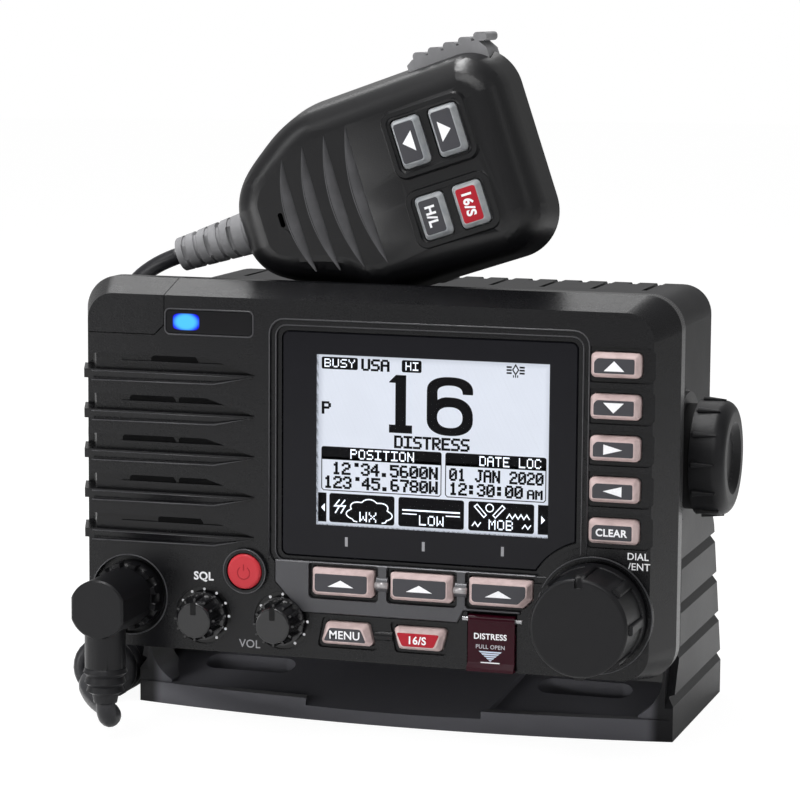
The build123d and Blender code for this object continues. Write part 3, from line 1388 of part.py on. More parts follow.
def mic_outline(inset):
    """Outline across the microphone: tapered nose at the cord, square end with round corners."""
    top, low = MIC_MID_V + MIC_HALF_H - inset, MIC_MID_V - MIC_HALF_H + inset
    with BuildSketch() as outline:
        with BuildLine():
            Line((MIC_RIGHT_U - MIC_R, top), (-18.0, top - 1.0))
            Spline(
                (-18.0, top - 1.0),
                (-38.0 + 0.6 * inset, MIC_MID_V + 22.4 - 0.8 * inset),
                (MIC_NOSE_U + inset, MIC_MID_V + 5.6),
                tangents=[(-1, -0.05), (-0.2, -1)],
            )
            Line((MIC_NOSE_U + inset, MIC_MID_V + 5.6), (MIC_NOSE_U + inset, MIC_MID_V - 5.6))
            Spline(
                (MIC_NOSE_U + inset, MIC_MID_V - 5.6),
                (-41.0 + 0.7 * inset, MIC_MID_V - 18.6 + 0.7 * inset),
                (-31.0 + 0.4 * inset, MIC_MID_V - 22.4 + 0.9 * inset),
                (-19.0 + 0.2 * inset, MIC_MID_V - 27.8 + inset),
                (-7.0, low + 0.2),
                tangents=[(0.2, -1), (1, -0.02)],
            )
            Line((-7.0, low + 0.2), (MIC_RIGHT_U - MIC_R, low))
            RadiusArc(
                (MIC_RIGHT_U - MIC_R, low),
                (MIC_RIGHT_U - inset, low + MIC_R - inset),
                -(MIC_R - inset * 0.6),
            )
            Line(
                (MIC_RIGHT_U - inset, low + MIC_R - inset),
                (MIC_RIGHT_U - inset, top - MIC_R + inset),
            )
            RadiusArc(
                (MIC_RIGHT_U - inset, top - MIC_R + inset),
                (MIC_RIGHT_U - MIC_R, top),
                -(MIC_R - inset * 0.6),
            )
        make_face()
    return outline.sketch


MIC_KEYS = (
    ("mic_key_down", MIC_KEY_COLUMNS[0], MIC_KEY_UPPER_V, MIC_KEY_UPPER_H),
    ("mic_key_up", MIC_KEY_COLUMNS[1], MIC_KEY_UPPER_V, MIC_KEY_UPPER_H),
    ("mic_key_level", MIC_KEY_COLUMNS[0], MIC_KEY_LOWER_V, MIC_KEY_LOWER_H),
    ("mic_key_channel16", MIC_KEY_COLUMNS[1], MIC_KEY_LOWER_V, MIC_KEY_LOWER_H),
)
KEYPAD_MID_U = sum(MIC_KEY_COLUMNS) / 2
MIC_SCREWS = [(-34.0, -3.4), (34.0, 18.0), (34.0, -24.0)]
PTT_MID_U = (PTT_LEFT + PTT_RIGHT) / 2
RELIEF_DEPTH = 35.0
RELIEF_START_U = MIC_NOSE_U
RELIEF_PLACE = Plane(
    origin=mic_point(RELIEF_START_U, MIC_MID_V, RELIEF_DEPTH),
    x_dir=(-cos(radians(MIC_TILT)), 0, -sin(radians(MIC_TILT))),
    z_dir=(0, -1, 0),
).location
MIC_TOP_V = MIC_MID_V + MIC_HALF_H

# the front rounds off like a quarter of an oval: (how far behind the front, how far drawn in)
MIC_ROUND_DEEP, MIC_ROUND_IN = 10.0, 9.0
MIC_ROUND = [
    (MIC_ROUND_DEEP * (1 - cos(radians(a))), 1.4 + MIC_ROUND_IN * (1 - sin(radians(a))))
    for a in (90, 66, 46, 28, 12, 0)
]


def groove_outline(u, height, bow, width):
    """Bowed groove of the grille: two arcs between the same ends."""
    low, high = MIC_MID_V - 0.4 - height / 2, MIC_MID_V - 0.4 + height / 2
    with BuildSketch() as outline:
        with BuildLine():
            ThreePointArc((u, low), (u - bow, MIC_MID_V + 1.5), (u, high))
            ThreePointArc((u, high), (u - bow + width, MIC_MID_V + 1.5), (u, low))
        make_face()
    return outline.sketch


with BuildPart() as mic_front:
    for shell, mode in ((0.0, Mode.ADD), (MIC_WALL, Mode.SUBTRACT)):
        with BuildPart(mode=mode):
            with BuildSketch(mic_depth(MIC_JOINT_DEPTH)):
                add(mic_outline(shell))
            for deep, drawn_in in MIC_ROUND:
                with BuildSketch(mic_depth(MIC_FRONT_DEPTH + shell + deep)):
                    add(mic_outline(drawn_in + shell))
            loft(ruled=True)
    # raised frames of the upper and the lower keys
    for v, height, rise in (
        (MIC_KEY_UPPER_V, MIC_KEY_UPPER_H + 6.4, 1.2),
        (MIC_KEY_LOWER_V, MIC_KEY_LOWER_H + 5.0, 0.7),
    ):
        with BuildSketch(mic_depth(MIC_FRONT_DEPTH + 0.2)):
            with Locations((KEYPAD_MID_U, v)):
                RectangleRounded(27.0, height, 4.0)
        extrude(amount=rise + 0.2, taper=30)
        with BuildSketch(mic_depth(MIC_FRONT_DEPTH - rise + 0.6)):
            with Locations((KEYPAD_MID_U, v)):
                RectangleRounded(23.0, height - 4.0, 2.2)
        extrude(amount=2, mode=Mode.SUBTRACT)
    for name, u, v, height in MIC_KEYS:
        with BuildSketch(mic_depth(MIC_FRONT_DEPTH + 4)):
            with Locations((u, v)):
                RectangleRounded(MIC_KEY_W + 2 * RUN, height + 2 * RUN, 1.6)
        extrude(amount=8, mode=Mode.SUBTRACT)
    # grille: four bowed grooves, each with a narrow opening along its inner side
    for u, height in zip(GRILLE_U, GRILLE_H):
        with BuildSketch(mic_depth(MIC_FRONT_DEPTH + GRILLE_DEPTH)):
            add(groove_outline(u, height, GRILLE_BOW, GRILLE_W))
        extrude(amount=6, mode=Mode.SUBTRACT)
        with BuildSketch(mic_depth(MIC_FRONT_DEPTH + 4)):
            add(groove_outline(u - 0.5, height - 10, GRILLE_BOW - GRILLE_W + 1.0, 0.9))
        extrude(amount=6, mode=Mode.SUBTRACT)
    with BuildSketch(mic_depth(MIC_FRONT_DEPTH + 4)):
        with Locations((-34.6, MIC_MID_V)):
            SlotOverall(4.4, 1.5, rotation=90)
    extrude(amount=6, mode=Mode.SUBTRACT)
    # notch of the talk button in the upper side
    with BuildSketch(mic_depth(PTT_DEPTH + PTT_W / 2 + RUN)):
        with Locations((PTT_MID_U, MIC_TOP_V)):
            Rectangle(PTT_RIGHT - PTT_LEFT + 2 * RUN, 12)
    extrude(amount=PTT_W + 2 * RUN, mode=Mode.SUBTRACT)
    with Locations(RELIEF_PLACE):
        Cylinder(RELIEF_R0 - 0.3, 30, rotation=(0, 90, 0), mode=Mode.SUBTRACT)
mic_front.part.label = "mic_front"
export_step(mic_front.part, "parts/mic_front.step")

with BuildPart() as mic_back:
    with BuildSketch(mic_depth(MIC_JOINT_DEPTH)):
        add(mic_outline(0.3))
    with BuildSketch(mic_depth(MIC_BACK_DEPTH - 4)):
        add(mic_outline(3.4))
    with BuildSketch(mic_depth(MIC_BACK_DEPTH)):
        add(mic_outline(8.0))
    loft(ruled=True)
    with BuildSketch(mic_depth(MIC_JOINT_DEPTH)):
        add(mic_outline(MIC_WALL))
    with BuildSketch(mic_depth(MIC_BACK_DEPTH - 4)):
        add(mic_outline(MIC_WALL + 3.4))
    with BuildSketch(mic_depth(MIC_BACK_DEPTH - 2.4)):
        add(mic_outline(MIC_WALL + 5.4))
    loft(ruled=True, mode=Mode.SUBTRACT)
    with BuildSketch(mic_depth(MIC_BACK_DEPTH - 2)):
        with Locations(*MIC_SCREWS):
            Circle(3.4)
    extrude(amount=MIC_BACK_DEPTH - 2 - MIC_JOINT_DEPTH)
    with BuildSketch(mic_depth(MIC_BACK_DEPTH + 1)):
        with Locations(*MIC_SCREWS):
            Circle(2.3)
    extrude(amount=3.2, mode=Mode.SUBTRACT)
    with BuildSketch(mic_depth(MIC_BACK_DEPTH + 1)):
        with Locations((KEYPAD_MID_U, MIC_MID_V)):
            Circle(3.0)
    extrude(amount=6, mode=Mode.SUBTRACT)
    with BuildSketch(mic_depth(PTT_DEPTH + PTT_W / 2 + RUN)):
        with Locations((PTT_MID_U, MIC_TOP_V)):
            Rectangle(PTT_RIGHT - PTT_LEFT + 2 * RUN, 12)
    extrude(amount=PTT_W, mode=Mode.SUBTRACT)
    with Locations(RELIEF_PLACE):
        Cylinder(RELIEF_R0 - 0.3, 30, rotation=(0, 90, 0), mode=Mode.SUBTRACT)
mic_back.part.label = "mic_back"
export_step(mic_back.part, "parts/mic_back.step")

with BuildPart() as mic_screws:
    with BuildSketch(mic_depth(MIC_BACK_DEPTH - 0.2)):
        with Locations(*MIC_SCREWS):
            Circle(2.2)
            RegularPolygon(1.1, 6, mode=Mode.SUBTRACT)
    extrude(amount=1.0)
    with BuildSketch(mic_depth(MIC_BACK_DEPTH - 1.2)):
        with Locations(*MIC_SCREWS):
            Circle(2.2)
    extrude(amount=1.0)
mic_screws.part.label = "mic_screws"
export_step(mic_screws.part, "parts/mic_screws.step")

with BuildPart() as hanger_stud:
    with BuildSketch(mic_depth(MIC_BACK_DEPTH + 5.0)):
        with Locations((KEYPAD_MID_U, MIC_MID_V)):
            Circle(7.0)
    extrude(amount=2.0)
    fillet(hanger_stud.faces().sort_by(Axis.Y)[-1].edges(), 0.8)
    with BuildSketch(mic_depth(MIC_BACK_DEPTH + 3.2)):
        with Locations((KEYPAD_MID_U, MIC_MID_V)):
            Circle(4.0)
    extrude(amount=3.2)
    with BuildSketch(mic_depth(MIC_BACK_DEPTH)):
        with Locations((KEYPAD_MID_U, MIC_MID_V)):
            Circle(2.95)
    extrude(amount=4.0)
hanger_stud.part.label = "hanger_stud"
export_step(hanger_stud.part, "parts/hanger_stud.step")

for name, u, v, height in MIC_KEYS:
    with BuildPart() as mic_key:
        with BuildSketch(mic_depth(MIC_FRONT_DEPTH + 3.0)):
            with Locations((u, v)):
                RectangleRounded(MIC_KEY_W, height, 1.4)
        proud = MIC_KEY_PROUD + (1.0 if v == MIC_KEY_UPPER_V else 0.0)
        extrude(amount=3.4)
        with BuildSketch(mic_depth(MIC_FRONT_DEPTH - 0.4)):
            with Locations((u, v)):
                RectangleRounded(MIC_KEY_W, height, 1.4)
        with BuildSketch(mic_depth(MIC_FRONT_DEPTH - proud)):
            with Locations((u, v)):
                RectangleRounded(
                    MIC_KEY_W - 2 * MIC_KEY_DRAFT, height - 2 * MIC_KEY_DRAFT, 1.4 - MIC_KEY_DRAFT / 2
                )
        loft(ruled=True)
        with BuildSketch(mic_depth(MIC_FRONT_DEPTH + 4.2)):
            with Locations((u, v)):
                RectangleRounded(MIC_KEY_W + 1.4, height + 1.4, 1.6)
        extrude(amount=1.2)
    mic_key.part.label = name
    export_step(mic_key.part, f"parts/{name}.step")

with BuildPart() as ptt_button:
    with BuildSketch(mic_depth(PTT_DEPTH + PTT_W / 2)):
        with BuildLine():
            Polyline(
                (PTT_LEFT, MIC_TOP_V - 4.6),
                (PTT_RIGHT, MIC_TOP_V - 4.6),
                (PTT_RIGHT, MIC_TOP_V - 2.0),
                (PTT_RIGHT - 2.0, MIC_TOP_V + PTT_OUT - 1.0),
                (PTT_LEFT + 2.0, MIC_TOP_V + PTT_OUT - 0.6),
                (PTT_LEFT, MIC_TOP_V + 0.4),
                close=True,
            )
        make_face()
        with Locations(*[(PTT_LEFT + 4.4 + PTT_PITCH * i, MIC_TOP_V + PTT_OUT - 0.4) for i in range(PTT_PADS)]):
            RectangleRounded(PTT_PITCH - 0.8, 2.6, 1.1, rotation=-16)
    extrude(amount=PTT_W)
ptt_button.part.label = "ptt_button"
export_step(ptt_button.part, "parts/ptt_button.step")

with BuildPart() as mic_capsule:
    with BuildSketch(mic_depth(MIC_FRONT_DEPTH + 16.0)):
        with Locations((-19.0, MIC_MID_V)):
            RectangleRounded(30.0, 30.0, 6.0)
    extrude(amount=13.4)
mic_capsule.part.label = "mic_capsule"
export_step(mic_capsule.part, "parts/mic_capsule.step")

with BuildPart() as mic_relief:
    with BuildSketch(Plane.XY) as relief_profile:
        with BuildLine():
            Polyline((0, 0), (-6.0, 0), (-6.0, RELIEF_R0 - 0.3), (0, RELIEF_R0 - 0.3), (0, RELIEF_R0))
            Line((0, RELIEF_R0), (RELIEF_LENGTH, RELIEF_R1))
            Polyline((RELIEF_LENGTH, RELIEF_R1), (RELIEF_LENGTH, 0), (0, 0))
        make_face()
        for i in range(RELIEF_RINGS):
            x = RELIEF_FIRST + RELIEF_PITCH * i
            with Locations((x, RELIEF_R0 - (RELIEF_R0 - RELIEF_R1) * x / RELIEF_LENGTH)):
                Rectangle(1.0, 1.0, mode=Mode.SUBTRACT)
    revolve(axis=Axis.X)
    # deeper slots, turned by a quarter from one ring to the next
    for i in range(RELIEF_RINGS):
        across = (0, 1, 0) if i % 2 else (0, 0, 1)
        for side in (-1, 1):
            place = [side * (RELIEF_R0 - 0.6) * c for c in across]
            with Locations((RELIEF_FIRST + RELIEF_PITCH * i, place[1], place[2])):
                Box(1.6, 7.0 if i % 2 == 0 else 3.2, 3.2 if i % 2 == 0 else 7.0, mode=Mode.SUBTRACT)
relief_solid = mic_relief.part.moved(RELIEF_PLACE)
relief_solid.label = "mic_relief"
export_step(relief_solid, "parts/mic_relief.step")

# === cord ===========================================================================================

COIL_D = 20.0
COIL_Z = COIL_D / 2 + 0.1
COIL_ROUTE = [
    Vector(-BASE_HALF - COIL_D / 2 - 0.4, -17.0, COIL_Z),
    Vector(-95.8, 30.0, COIL_Z),
    Vector(-96.2, 72.0, COIL_Z),
    Vector(-80.0, 108.0, COIL_Z),
]

PLUG_TAIL = [
    Vector(SOCKET_X, PLUG_Y, SLEEVE_END_Z),
    Vector(SOCKET_X, PLUG_Y, 9.4),
    Vector(SOCKET_X, PLUG_Y + 3.4, 7.0),
    Vector(SOCKET_X - 3.0, PLUG_Y + 13.0, 6.4),
    Vector(-86.0, -42.5, 7.6),
    COIL_ROUTE[0] + (COIL_ROUTE[0] - COIL_ROUTE[1]).normalized() * 13.0,
    COIL_ROUTE[0],
]
relief_end = Vector(*mic_point(RELIEF_START_U - RELIEF_LENGTH, MIC_MID_V, RELIEF_DEPTH))
MIC_TAIL = [
    relief_end,
    Vector(*mic_point(RELIEF_START_U - RELIEF_LENGTH - 18.5, MIC_MID_V, RELIEF_DEPTH)),
    Vector(-98.0, 10.0, 108.0),
    Vector(-101.0, 28.0, 76.0),
    Vector(-104.0, 44.0, 47.0),
    Vector(-107.0, 64.0, 24.0),
    Vector(-110.0, 89.0, 8.5),
    Vector(-112.4, 114.3, 3.2),
    Vector(-111.2, 132.2, 2.8),
    Vector(-97.1, 142.6, 2.8),
    Vector(-80.6, 138.4, 5.6),
    COIL_ROUTE[-1] + (COIL_ROUTE[-1] - COIL_ROUTE[-2]).normalized() * 16.0,
    COIL_ROUTE[-1],
]


def route_radii(points):
    """Radius of each corner: the tangent takes 0.45 of the shorter run beside it."""
    radii = []
    for before, corner, after in zip(points, points[1:], points[2:]):
        a, b = corner - before, after - corner
        turn = radians(a.get_angle(b))
        shorter = min(a.length, b.length)
        radii.append(0.45 * shorter / (sin(turn / 2) / cos(turn / 2)))
    return radii


def cord_solid(points, diameter, label):
    """Round tube along straight runs joined by tangent arcs."""
    radii = route_radii(points)
    with BuildPart() as tube:
        with BuildLine() as path:
            FilletPolyline(*points, radius=radii)
        with BuildSketch(path.line ^ 0):
            Circle(diameter / 2)
        sweep()
    length = path.wires()[0].length
    ideal = 3.14159265 * diameter**2 / 4 * length
    print(
        label,
        "length %.1f" % length,
        "radii",
        [round(r, 1) for r in radii],
        "volume ratio %.4f" % (tube.part.volume / ideal),
    )
    tube.part.label = label
    export_step(tube.part, f"parts/{label}.step")
    return tube.part


cord_solid(PLUG_TAIL, PLUG_CORD_D, "cord_plug_tail")
cord_solid(COIL_ROUTE, COIL_D, "cord_coil")
cord_solid(MIC_TAIL, MIC_CORD_D, "cord_mic_tail")
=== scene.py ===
"""Fixed-mount marine radio with its bracket, hand microphone and curly cord.

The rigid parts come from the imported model. This file gives each of them a finish and adds
the lettering, the display's figures, the key faces, the knobs' marks and the cord.
All lengths in the classes are millimetres; meshes are written in metres.
"""

from __future__ import annotations

import json
import logging
import math
from dataclasses import dataclass, field
from enum import Enum
from typing import Any, Sequence

import bmesh
import bpy
import numpy as np
from mathutils import Matrix, Quaternion, Vector

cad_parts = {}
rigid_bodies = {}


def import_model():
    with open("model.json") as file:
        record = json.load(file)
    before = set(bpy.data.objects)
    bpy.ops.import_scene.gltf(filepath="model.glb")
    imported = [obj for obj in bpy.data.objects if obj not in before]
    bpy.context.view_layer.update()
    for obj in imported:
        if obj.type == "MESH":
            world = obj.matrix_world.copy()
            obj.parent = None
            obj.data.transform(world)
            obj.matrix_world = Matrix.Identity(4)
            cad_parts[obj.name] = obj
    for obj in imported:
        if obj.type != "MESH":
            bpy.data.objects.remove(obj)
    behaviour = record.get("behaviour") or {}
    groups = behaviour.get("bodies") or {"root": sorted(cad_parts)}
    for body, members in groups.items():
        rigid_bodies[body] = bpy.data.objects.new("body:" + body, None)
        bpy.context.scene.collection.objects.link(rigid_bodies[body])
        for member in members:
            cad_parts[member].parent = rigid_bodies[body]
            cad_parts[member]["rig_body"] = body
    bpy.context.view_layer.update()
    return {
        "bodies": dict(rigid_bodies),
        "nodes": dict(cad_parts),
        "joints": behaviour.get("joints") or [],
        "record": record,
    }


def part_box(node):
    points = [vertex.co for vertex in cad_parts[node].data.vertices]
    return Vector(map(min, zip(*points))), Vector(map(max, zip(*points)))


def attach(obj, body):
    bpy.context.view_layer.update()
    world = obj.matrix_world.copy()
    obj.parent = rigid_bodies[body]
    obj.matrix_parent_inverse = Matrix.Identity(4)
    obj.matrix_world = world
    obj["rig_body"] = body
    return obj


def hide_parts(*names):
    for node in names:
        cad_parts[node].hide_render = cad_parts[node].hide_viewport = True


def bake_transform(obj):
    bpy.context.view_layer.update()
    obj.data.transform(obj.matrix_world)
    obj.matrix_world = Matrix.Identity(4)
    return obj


log = logging.getLogger("marine_radio")

MM = 0.001
FACE_Y = -47.0  # flat face of the panel
MIC_X, MIC_Z, MIC_TILT = 0.3, 165.9, 18.6  # middle of the microphone and its turn in degrees
LEVEL_KNOBS = (("squelch", -48.6, 36.6), ("volume", -24.3, 36.6))
DIAL_PLACE, SOCKET_PLACE, POWER_PLACE = (69.1, 44.4), (-72.0, 41.2), (-35.5, 50.6)
SHARP = 14.0  # edges over this angle, in degrees, stay sharp in the smooth copies
SAME_PLACE = 0.002  # corners nearer than this are merged in them
Colour = tuple[float, float, float]


def srgb(red: float, green: float, blue: float) -> Colour:
    """Linear colour of a display colour given as 0 to 255."""
    c = np.array([red, green, blue]) / 255.0
    linear = np.where(c <= 0.04045, c / 12.92, ((c + 0.055) / 1.055) ** 2.4)
    return tuple(float(v) for v in linear)


def toned(colour: Colour, share: float, lift: float = 0.0) -> Colour:
    """Colour times a share plus a lift, at most 1."""
    return tuple(min(1.0, c * share + lift) for c in colour)


# ---------------------------------------------------------------------------------------
# shader maths
# ---------------------------------------------------------------------------------------


class Value:
    """A number socket that takes part in Python expressions."""

    def __init__(self, graph: "Graph", socket: bpy.types.NodeSocket) -> None:
        """Keep the graph and the output socket."""
        self.graph = graph
        self.socket = socket

    def _math(self, operation: str, *operands: Any) -> "Value":
        """Add a Math node with these operands and return its output."""
        inputs = {i: operand for i, operand in enumerate(operands)}
        node = self.graph.node("ShaderNodeMath", {"operation": operation}, inputs)
        return Value(self.graph, node.outputs[0])

    def __add__(self, other: Any) -> "Value":
        """Sum."""
        return self._math("ADD", self, other)

    def __sub__(self, other: Any) -> "Value":
        """Difference."""
        return self._math("SUBTRACT", self, other)

    def __rsub__(self, other: Any) -> "Value":
        """Difference with the number first."""
        return self._math("SUBTRACT", other, self)

    def __mul__(self, other: Any) -> "Value":
        """Product."""
        return self._math("MULTIPLY", self, other)

    def __truediv__(self, other: Any) -> "Value":
        """Quotient."""
        return self._math("DIVIDE", self, other)

    def __pow__(self, other: Any) -> "Value":
        """Power."""
        return self._math("POWER", self, other)

    def absolute(self) -> "Value":
        """Size without sign."""
        return self._math("ABSOLUTE", self)

    def larger(self, other: Any) -> "Value":
        """Larger of the two."""
        return self._math("MAXIMUM", self, other)

    def ramp(self, low: float, high: float) -> "Value":
        """Smooth step from 0 at low to 1 at high."""
        node = self.graph.node(
            "ShaderNodeMapRange",
            {"interpolation_type": "SMOOTHSTEP", "clamp": True},
            {"Value": self, "From Min": low, "From Max": high},
        )
        return Value(self.graph, node.outputs["Result"])


class Graph:
    """Node tree of one material, or of the world."""

    def __init__(self, owner: bpy.types.Material | bpy.types.World) -> None:
        """Start an empty tree with its output node."""
        self.owner = owner
        owner.use_nodes = True
        self.tree = owner.node_tree
        self.tree.nodes.clear()
        kind = "World" if isinstance(owner, bpy.types.World) else "Material"
        self.output = self.tree.nodes.new("ShaderNodeOutput" + kind)

    def node(
        self, kind: str, settings: dict[str, Any] | None = None, inputs: dict[Any, Any] | None = None
    ) -> bpy.types.Node:
        """Add a node.

        Args:
            kind: Type of the node.
            settings: Properties set first.
            inputs: Values, sockets or Values by socket name or number.

        Returns:
            The new node.
        """
        made = self.tree.nodes.new(kind)
        for name, setting in (settings or {}).items():
            setattr(made, name, setting)
        for name, value in (inputs or {}).items():
            socket = made.inputs[name]
            if isinstance(value, Value):
                self.tree.links.new(value.socket, socket)
            elif isinstance(value, bpy.types.NodeSocket):
                self.tree.links.new(value, socket)
            elif isinstance(value, tuple) and len(value) == 3 and socket.type == "RGBA":
                socket.default_value = (*value, 1.0)
            else:
                socket.default_value = value
        return made

    def place(self) -> bpy.types.NodeSocket:
        """Object coordinates."""
        return self.node("ShaderNodeTexCoord").outputs["Object"]

    def axes(self) -> tuple[Value, Value, Value]:
        """Object coordinates as three numbers, in metres."""
        split = self.node("ShaderNodeSeparateXYZ", {}, {"Vector": self.place()})
        return tuple(Value(self, split.outputs[i]) for i in range(3))

    def grain(self, grain_mm: float) -> dict[str, Any]:
        """Inputs of a texture whose cells are about grain_mm across."""
        return {"Vector": self.place(), "Scale": 1.0 / (grain_mm * MM)}

    def noise(self, grain_mm: float, detail: float) -> Value:
        """Noise from 0 to 1."""
        inputs = self.grain(grain_mm) | {"Detail": detail, "Roughness": 0.55}
        return Value(self, self.node("ShaderNodeTexNoise", {}, inputs).outputs["Fac"])

    def cells(self, grain_mm: float) -> Value:
        """Distance within small cells, for a moulded spark texture."""
        inputs = self.grain(grain_mm) | {"Smoothness": 0.6}
        made = self.node("ShaderNodeTexVoronoi", {"feature": "SMOOTH_F1"}, inputs)
        return Value(self, made.outputs["Distance"])

    def blend(self, factor: Any, first: Any, second: Any) -> bpy.types.NodeSocket:
        """Mix of two colours by a factor."""
        mixed = self.node("ShaderNodeMix", {"data_type": "RGBA"}, {0: factor, 6: first, 7: second})
        return mixed.outputs[2]

    def bump(self, height: Value, distance_mm: float) -> bpy.types.NodeSocket:
        """Normal from a height in units of distance_mm."""
        inputs = {"Height": height, "Distance": distance_mm * MM, "Strength": 1.0}
        return self.node("ShaderNodeBump", {}, inputs).outputs["Normal"]

    def beyond(self, low: Sequence[float], high: Sequence[float]) -> Value:
        """How far X and Z lie outside a rectangle given in millimetres, in metres; inside it
        the number is negative."""
        over = [
            (axis - (a + b) / 2 * MM).absolute() - (b - a) / 2 * MM
            for axis, a, b in zip(self.axes()[::2], low, high)
        ]
        return over[0].larger(over[1])

    def bare(self, share: float) -> Value:
        """One for rays that meet the bare background: those from the camera and those through
        glass, and a share for those that the object mirrors."""
        ray = self.node("ShaderNodeLightPath").outputs
        kinds = ("Camera", "Glossy", "Transmission")
        camera, mirrored, through = (Value(self, ray[f"Is {kind} Ray"]) for kind in kinds)
        return camera.larger(mirrored * share).larger(through)

    def finish(self, shader: bpy.types.Node) -> bpy.types.Material | bpy.types.World:
        """Join the shader to the output and return what it belongs to."""
        self.tree.links.new(shader.outputs[0], self.output.inputs["Surface"])
        return self.owner


# ---------------------------------------------------------------------------------------
# finishes
# ---------------------------------------------------------------------------------------


@dataclass(frozen=True)
class Recipe:
    """A finish: a named material with one Principled shader."""

    name: str

    def inputs(self, g: Graph) -> dict[str, Any]:
        """Inputs of the shader, as values, sockets or Values of the graph."""
        raise NotImplementedError

    def material(self) -> bpy.types.Material:
        """Build the material."""
        g = Graph(bpy.data.materials.new(self.name))
        return g.finish(g.node("ShaderNodeBsdfPrincipled", {}, self.inputs(g)))


@dataclass(frozen=True)
class MouldedPlastic(Recipe):
    """Satin plastic with a fine spark texture from its mould."""

    colour: Colour
    roughness: float = 0.42
    grain_mm: float = 0.42
    grain_height_mm: float = 0.03
    mottling: float = 0.12
    coat: float = 0.0
    specular: float = 0.2

    def tone(self, g: Graph, colour: Any) -> Any:
        """Base colour of the plastic, from its mottled colour."""
        return colour

    def inputs(self, g: Graph) -> dict[str, Any]:
        """Inputs of the shader."""
        spark = g.cells(self.grain_mm)
        fine = g.noise(self.grain_mm * 0.6, 2.0)
        broad = g.noise(26.0, 4.0)
        shade = (broad - 0.5) * self.mottling + (fine - 0.5) * self.mottling * 0.8 + 0.5
        dark = toned(self.colour, 0.72)
        light = toned(self.colour, 1.28)
        return {
            "Base Color": self.tone(g, g.blend(shade, dark, light)),
            "Roughness": (broad - 0.5) * 0.10 + (fine - 0.5) * 0.06 + self.roughness,
            "Normal": g.bump(spark * 0.7 + fine * 0.5, self.grain_height_mm),
            "Specular IOR Level": self.specular,
            "Coat Weight": self.coat,
            "Coat Roughness": 0.22,
        }


@dataclass(frozen=True)
class BracketPlastic(MouldedPlastic):
    """Moulded plastic with painted light: a paler tone on the low floor between the bracket's arms,
    where the radio above keeps most of the light away."""

    floor_painted_light: Colour = srgb(118, 118, 124)

    def tone(self, g: Graph, colour: Any) -> Any:
        """Painted light: paler tone where |X| < 78, -43 < Y < 19 and Z < 21.5, in millimetres, with soft
        edges.
        """
        x, y, z = (axis * (1 / MM) for axis in g.axes())
        between = 1 - x.absolute().ramp(76, 80)
        along = y.ramp(-46, -40) * (1 - y.ramp(8, 30))
        # painted light: paler tone on the floor under the radio
        floor = between * along * (1 - z.ramp(19, 24))
        return g.blend(floor * 0.9, colour, self.floor_painted_light)


@dataclass(frozen=True)
class SoftRubber(Recipe):
    """Matt rubber with dust in its pores."""

    colour: Colour
    roughness: float = 0.62
    grain_mm: float = 0.30

    def inputs(self, g: Graph) -> dict[str, Any]:
        """Inputs of the shader."""
        pores = g.noise(self.grain_mm, 3.0)
        broad = g.noise(9.0, 3.0)
        light = toned(self.colour, 1.35, 0.002)
        return {
            "Base Color": g.blend(broad.ramp(0.35, 0.75), self.colour, light),
            "Roughness": (pores - 0.5) * 0.16 + self.roughness,
            "Normal": g.bump(pores, 0.022),
            "Specular IOR Level": 0.2,
        }


@dataclass(frozen=True)
class KeyRubber(Recipe):
    """Translucent light key rubber, a little warmer in random patches."""

    colour: Colour
    edge: Colour
    roughness: float = 0.38

    def inputs(self, g: Graph) -> dict[str, Any]:
        """Inputs of the shader."""
        tone = g.noise(3.2, 3.0)
        return {
            "Base Color": g.blend(tone.ramp(0.30, 0.72), self.colour, self.edge),
            "Roughness": (tone - 0.5) * 0.12 + self.roughness,
            "Normal": g.bump(g.noise(0.25, 2.0), 0.012),
        }


@dataclass(frozen=True)
class BrushedMetal(Recipe):
    """Turned or rolled metal with fine lines along one axis."""

    colour: Colour
    roughness: float = 0.30
    axis: int = 1

    def inputs(self, g: Graph) -> dict[str, Any]:
        """Inputs of the shader."""
        scale = [2600.0, 2600.0, 2600.0]
        scale[self.axis] = 120.0
        mapped = g.node("ShaderNodeMapping", {}, {"Vector": g.place(), "Scale": tuple(scale)})
        lines = g.node("ShaderNodeTexNoise", {}, {"Vector": mapped.outputs[0], "Scale": 1.0, "Detail": 2.0})
        streak = Value(g, lines.outputs["Fac"])
        dark = toned(self.colour, 0.78)
        return {
            "Base Color": g.blend(streak, dark, self.colour),
            "Metallic": 1.0,
            "Roughness": (streak - 0.5) * 0.18 + self.roughness,
            "Normal": g.bump(streak, 0.006),
        }


@dataclass(frozen=True)
class MetallicPaint(Recipe):
    """Satin grey paint with fine flakes."""

    colour: Colour
    roughness: float = 0.34

    def inputs(self, g: Graph) -> dict[str, Any]:
        """Inputs of the shader."""
        flakes = g.cells(0.16)
        broad = g.noise(18.0, 3.0)
        light = toned(self.colour, 1.35)
        dark = toned(self.colour, 0.8)
        return {
            "Base Color": g.blend(flakes * 0.5 + broad * 0.5, dark, light),
            "Metallic": 0.35,
            "Roughness": (broad - 0.5) * 0.10 + self.roughness,
            "Normal": g.bump(flakes, 0.008),
        }


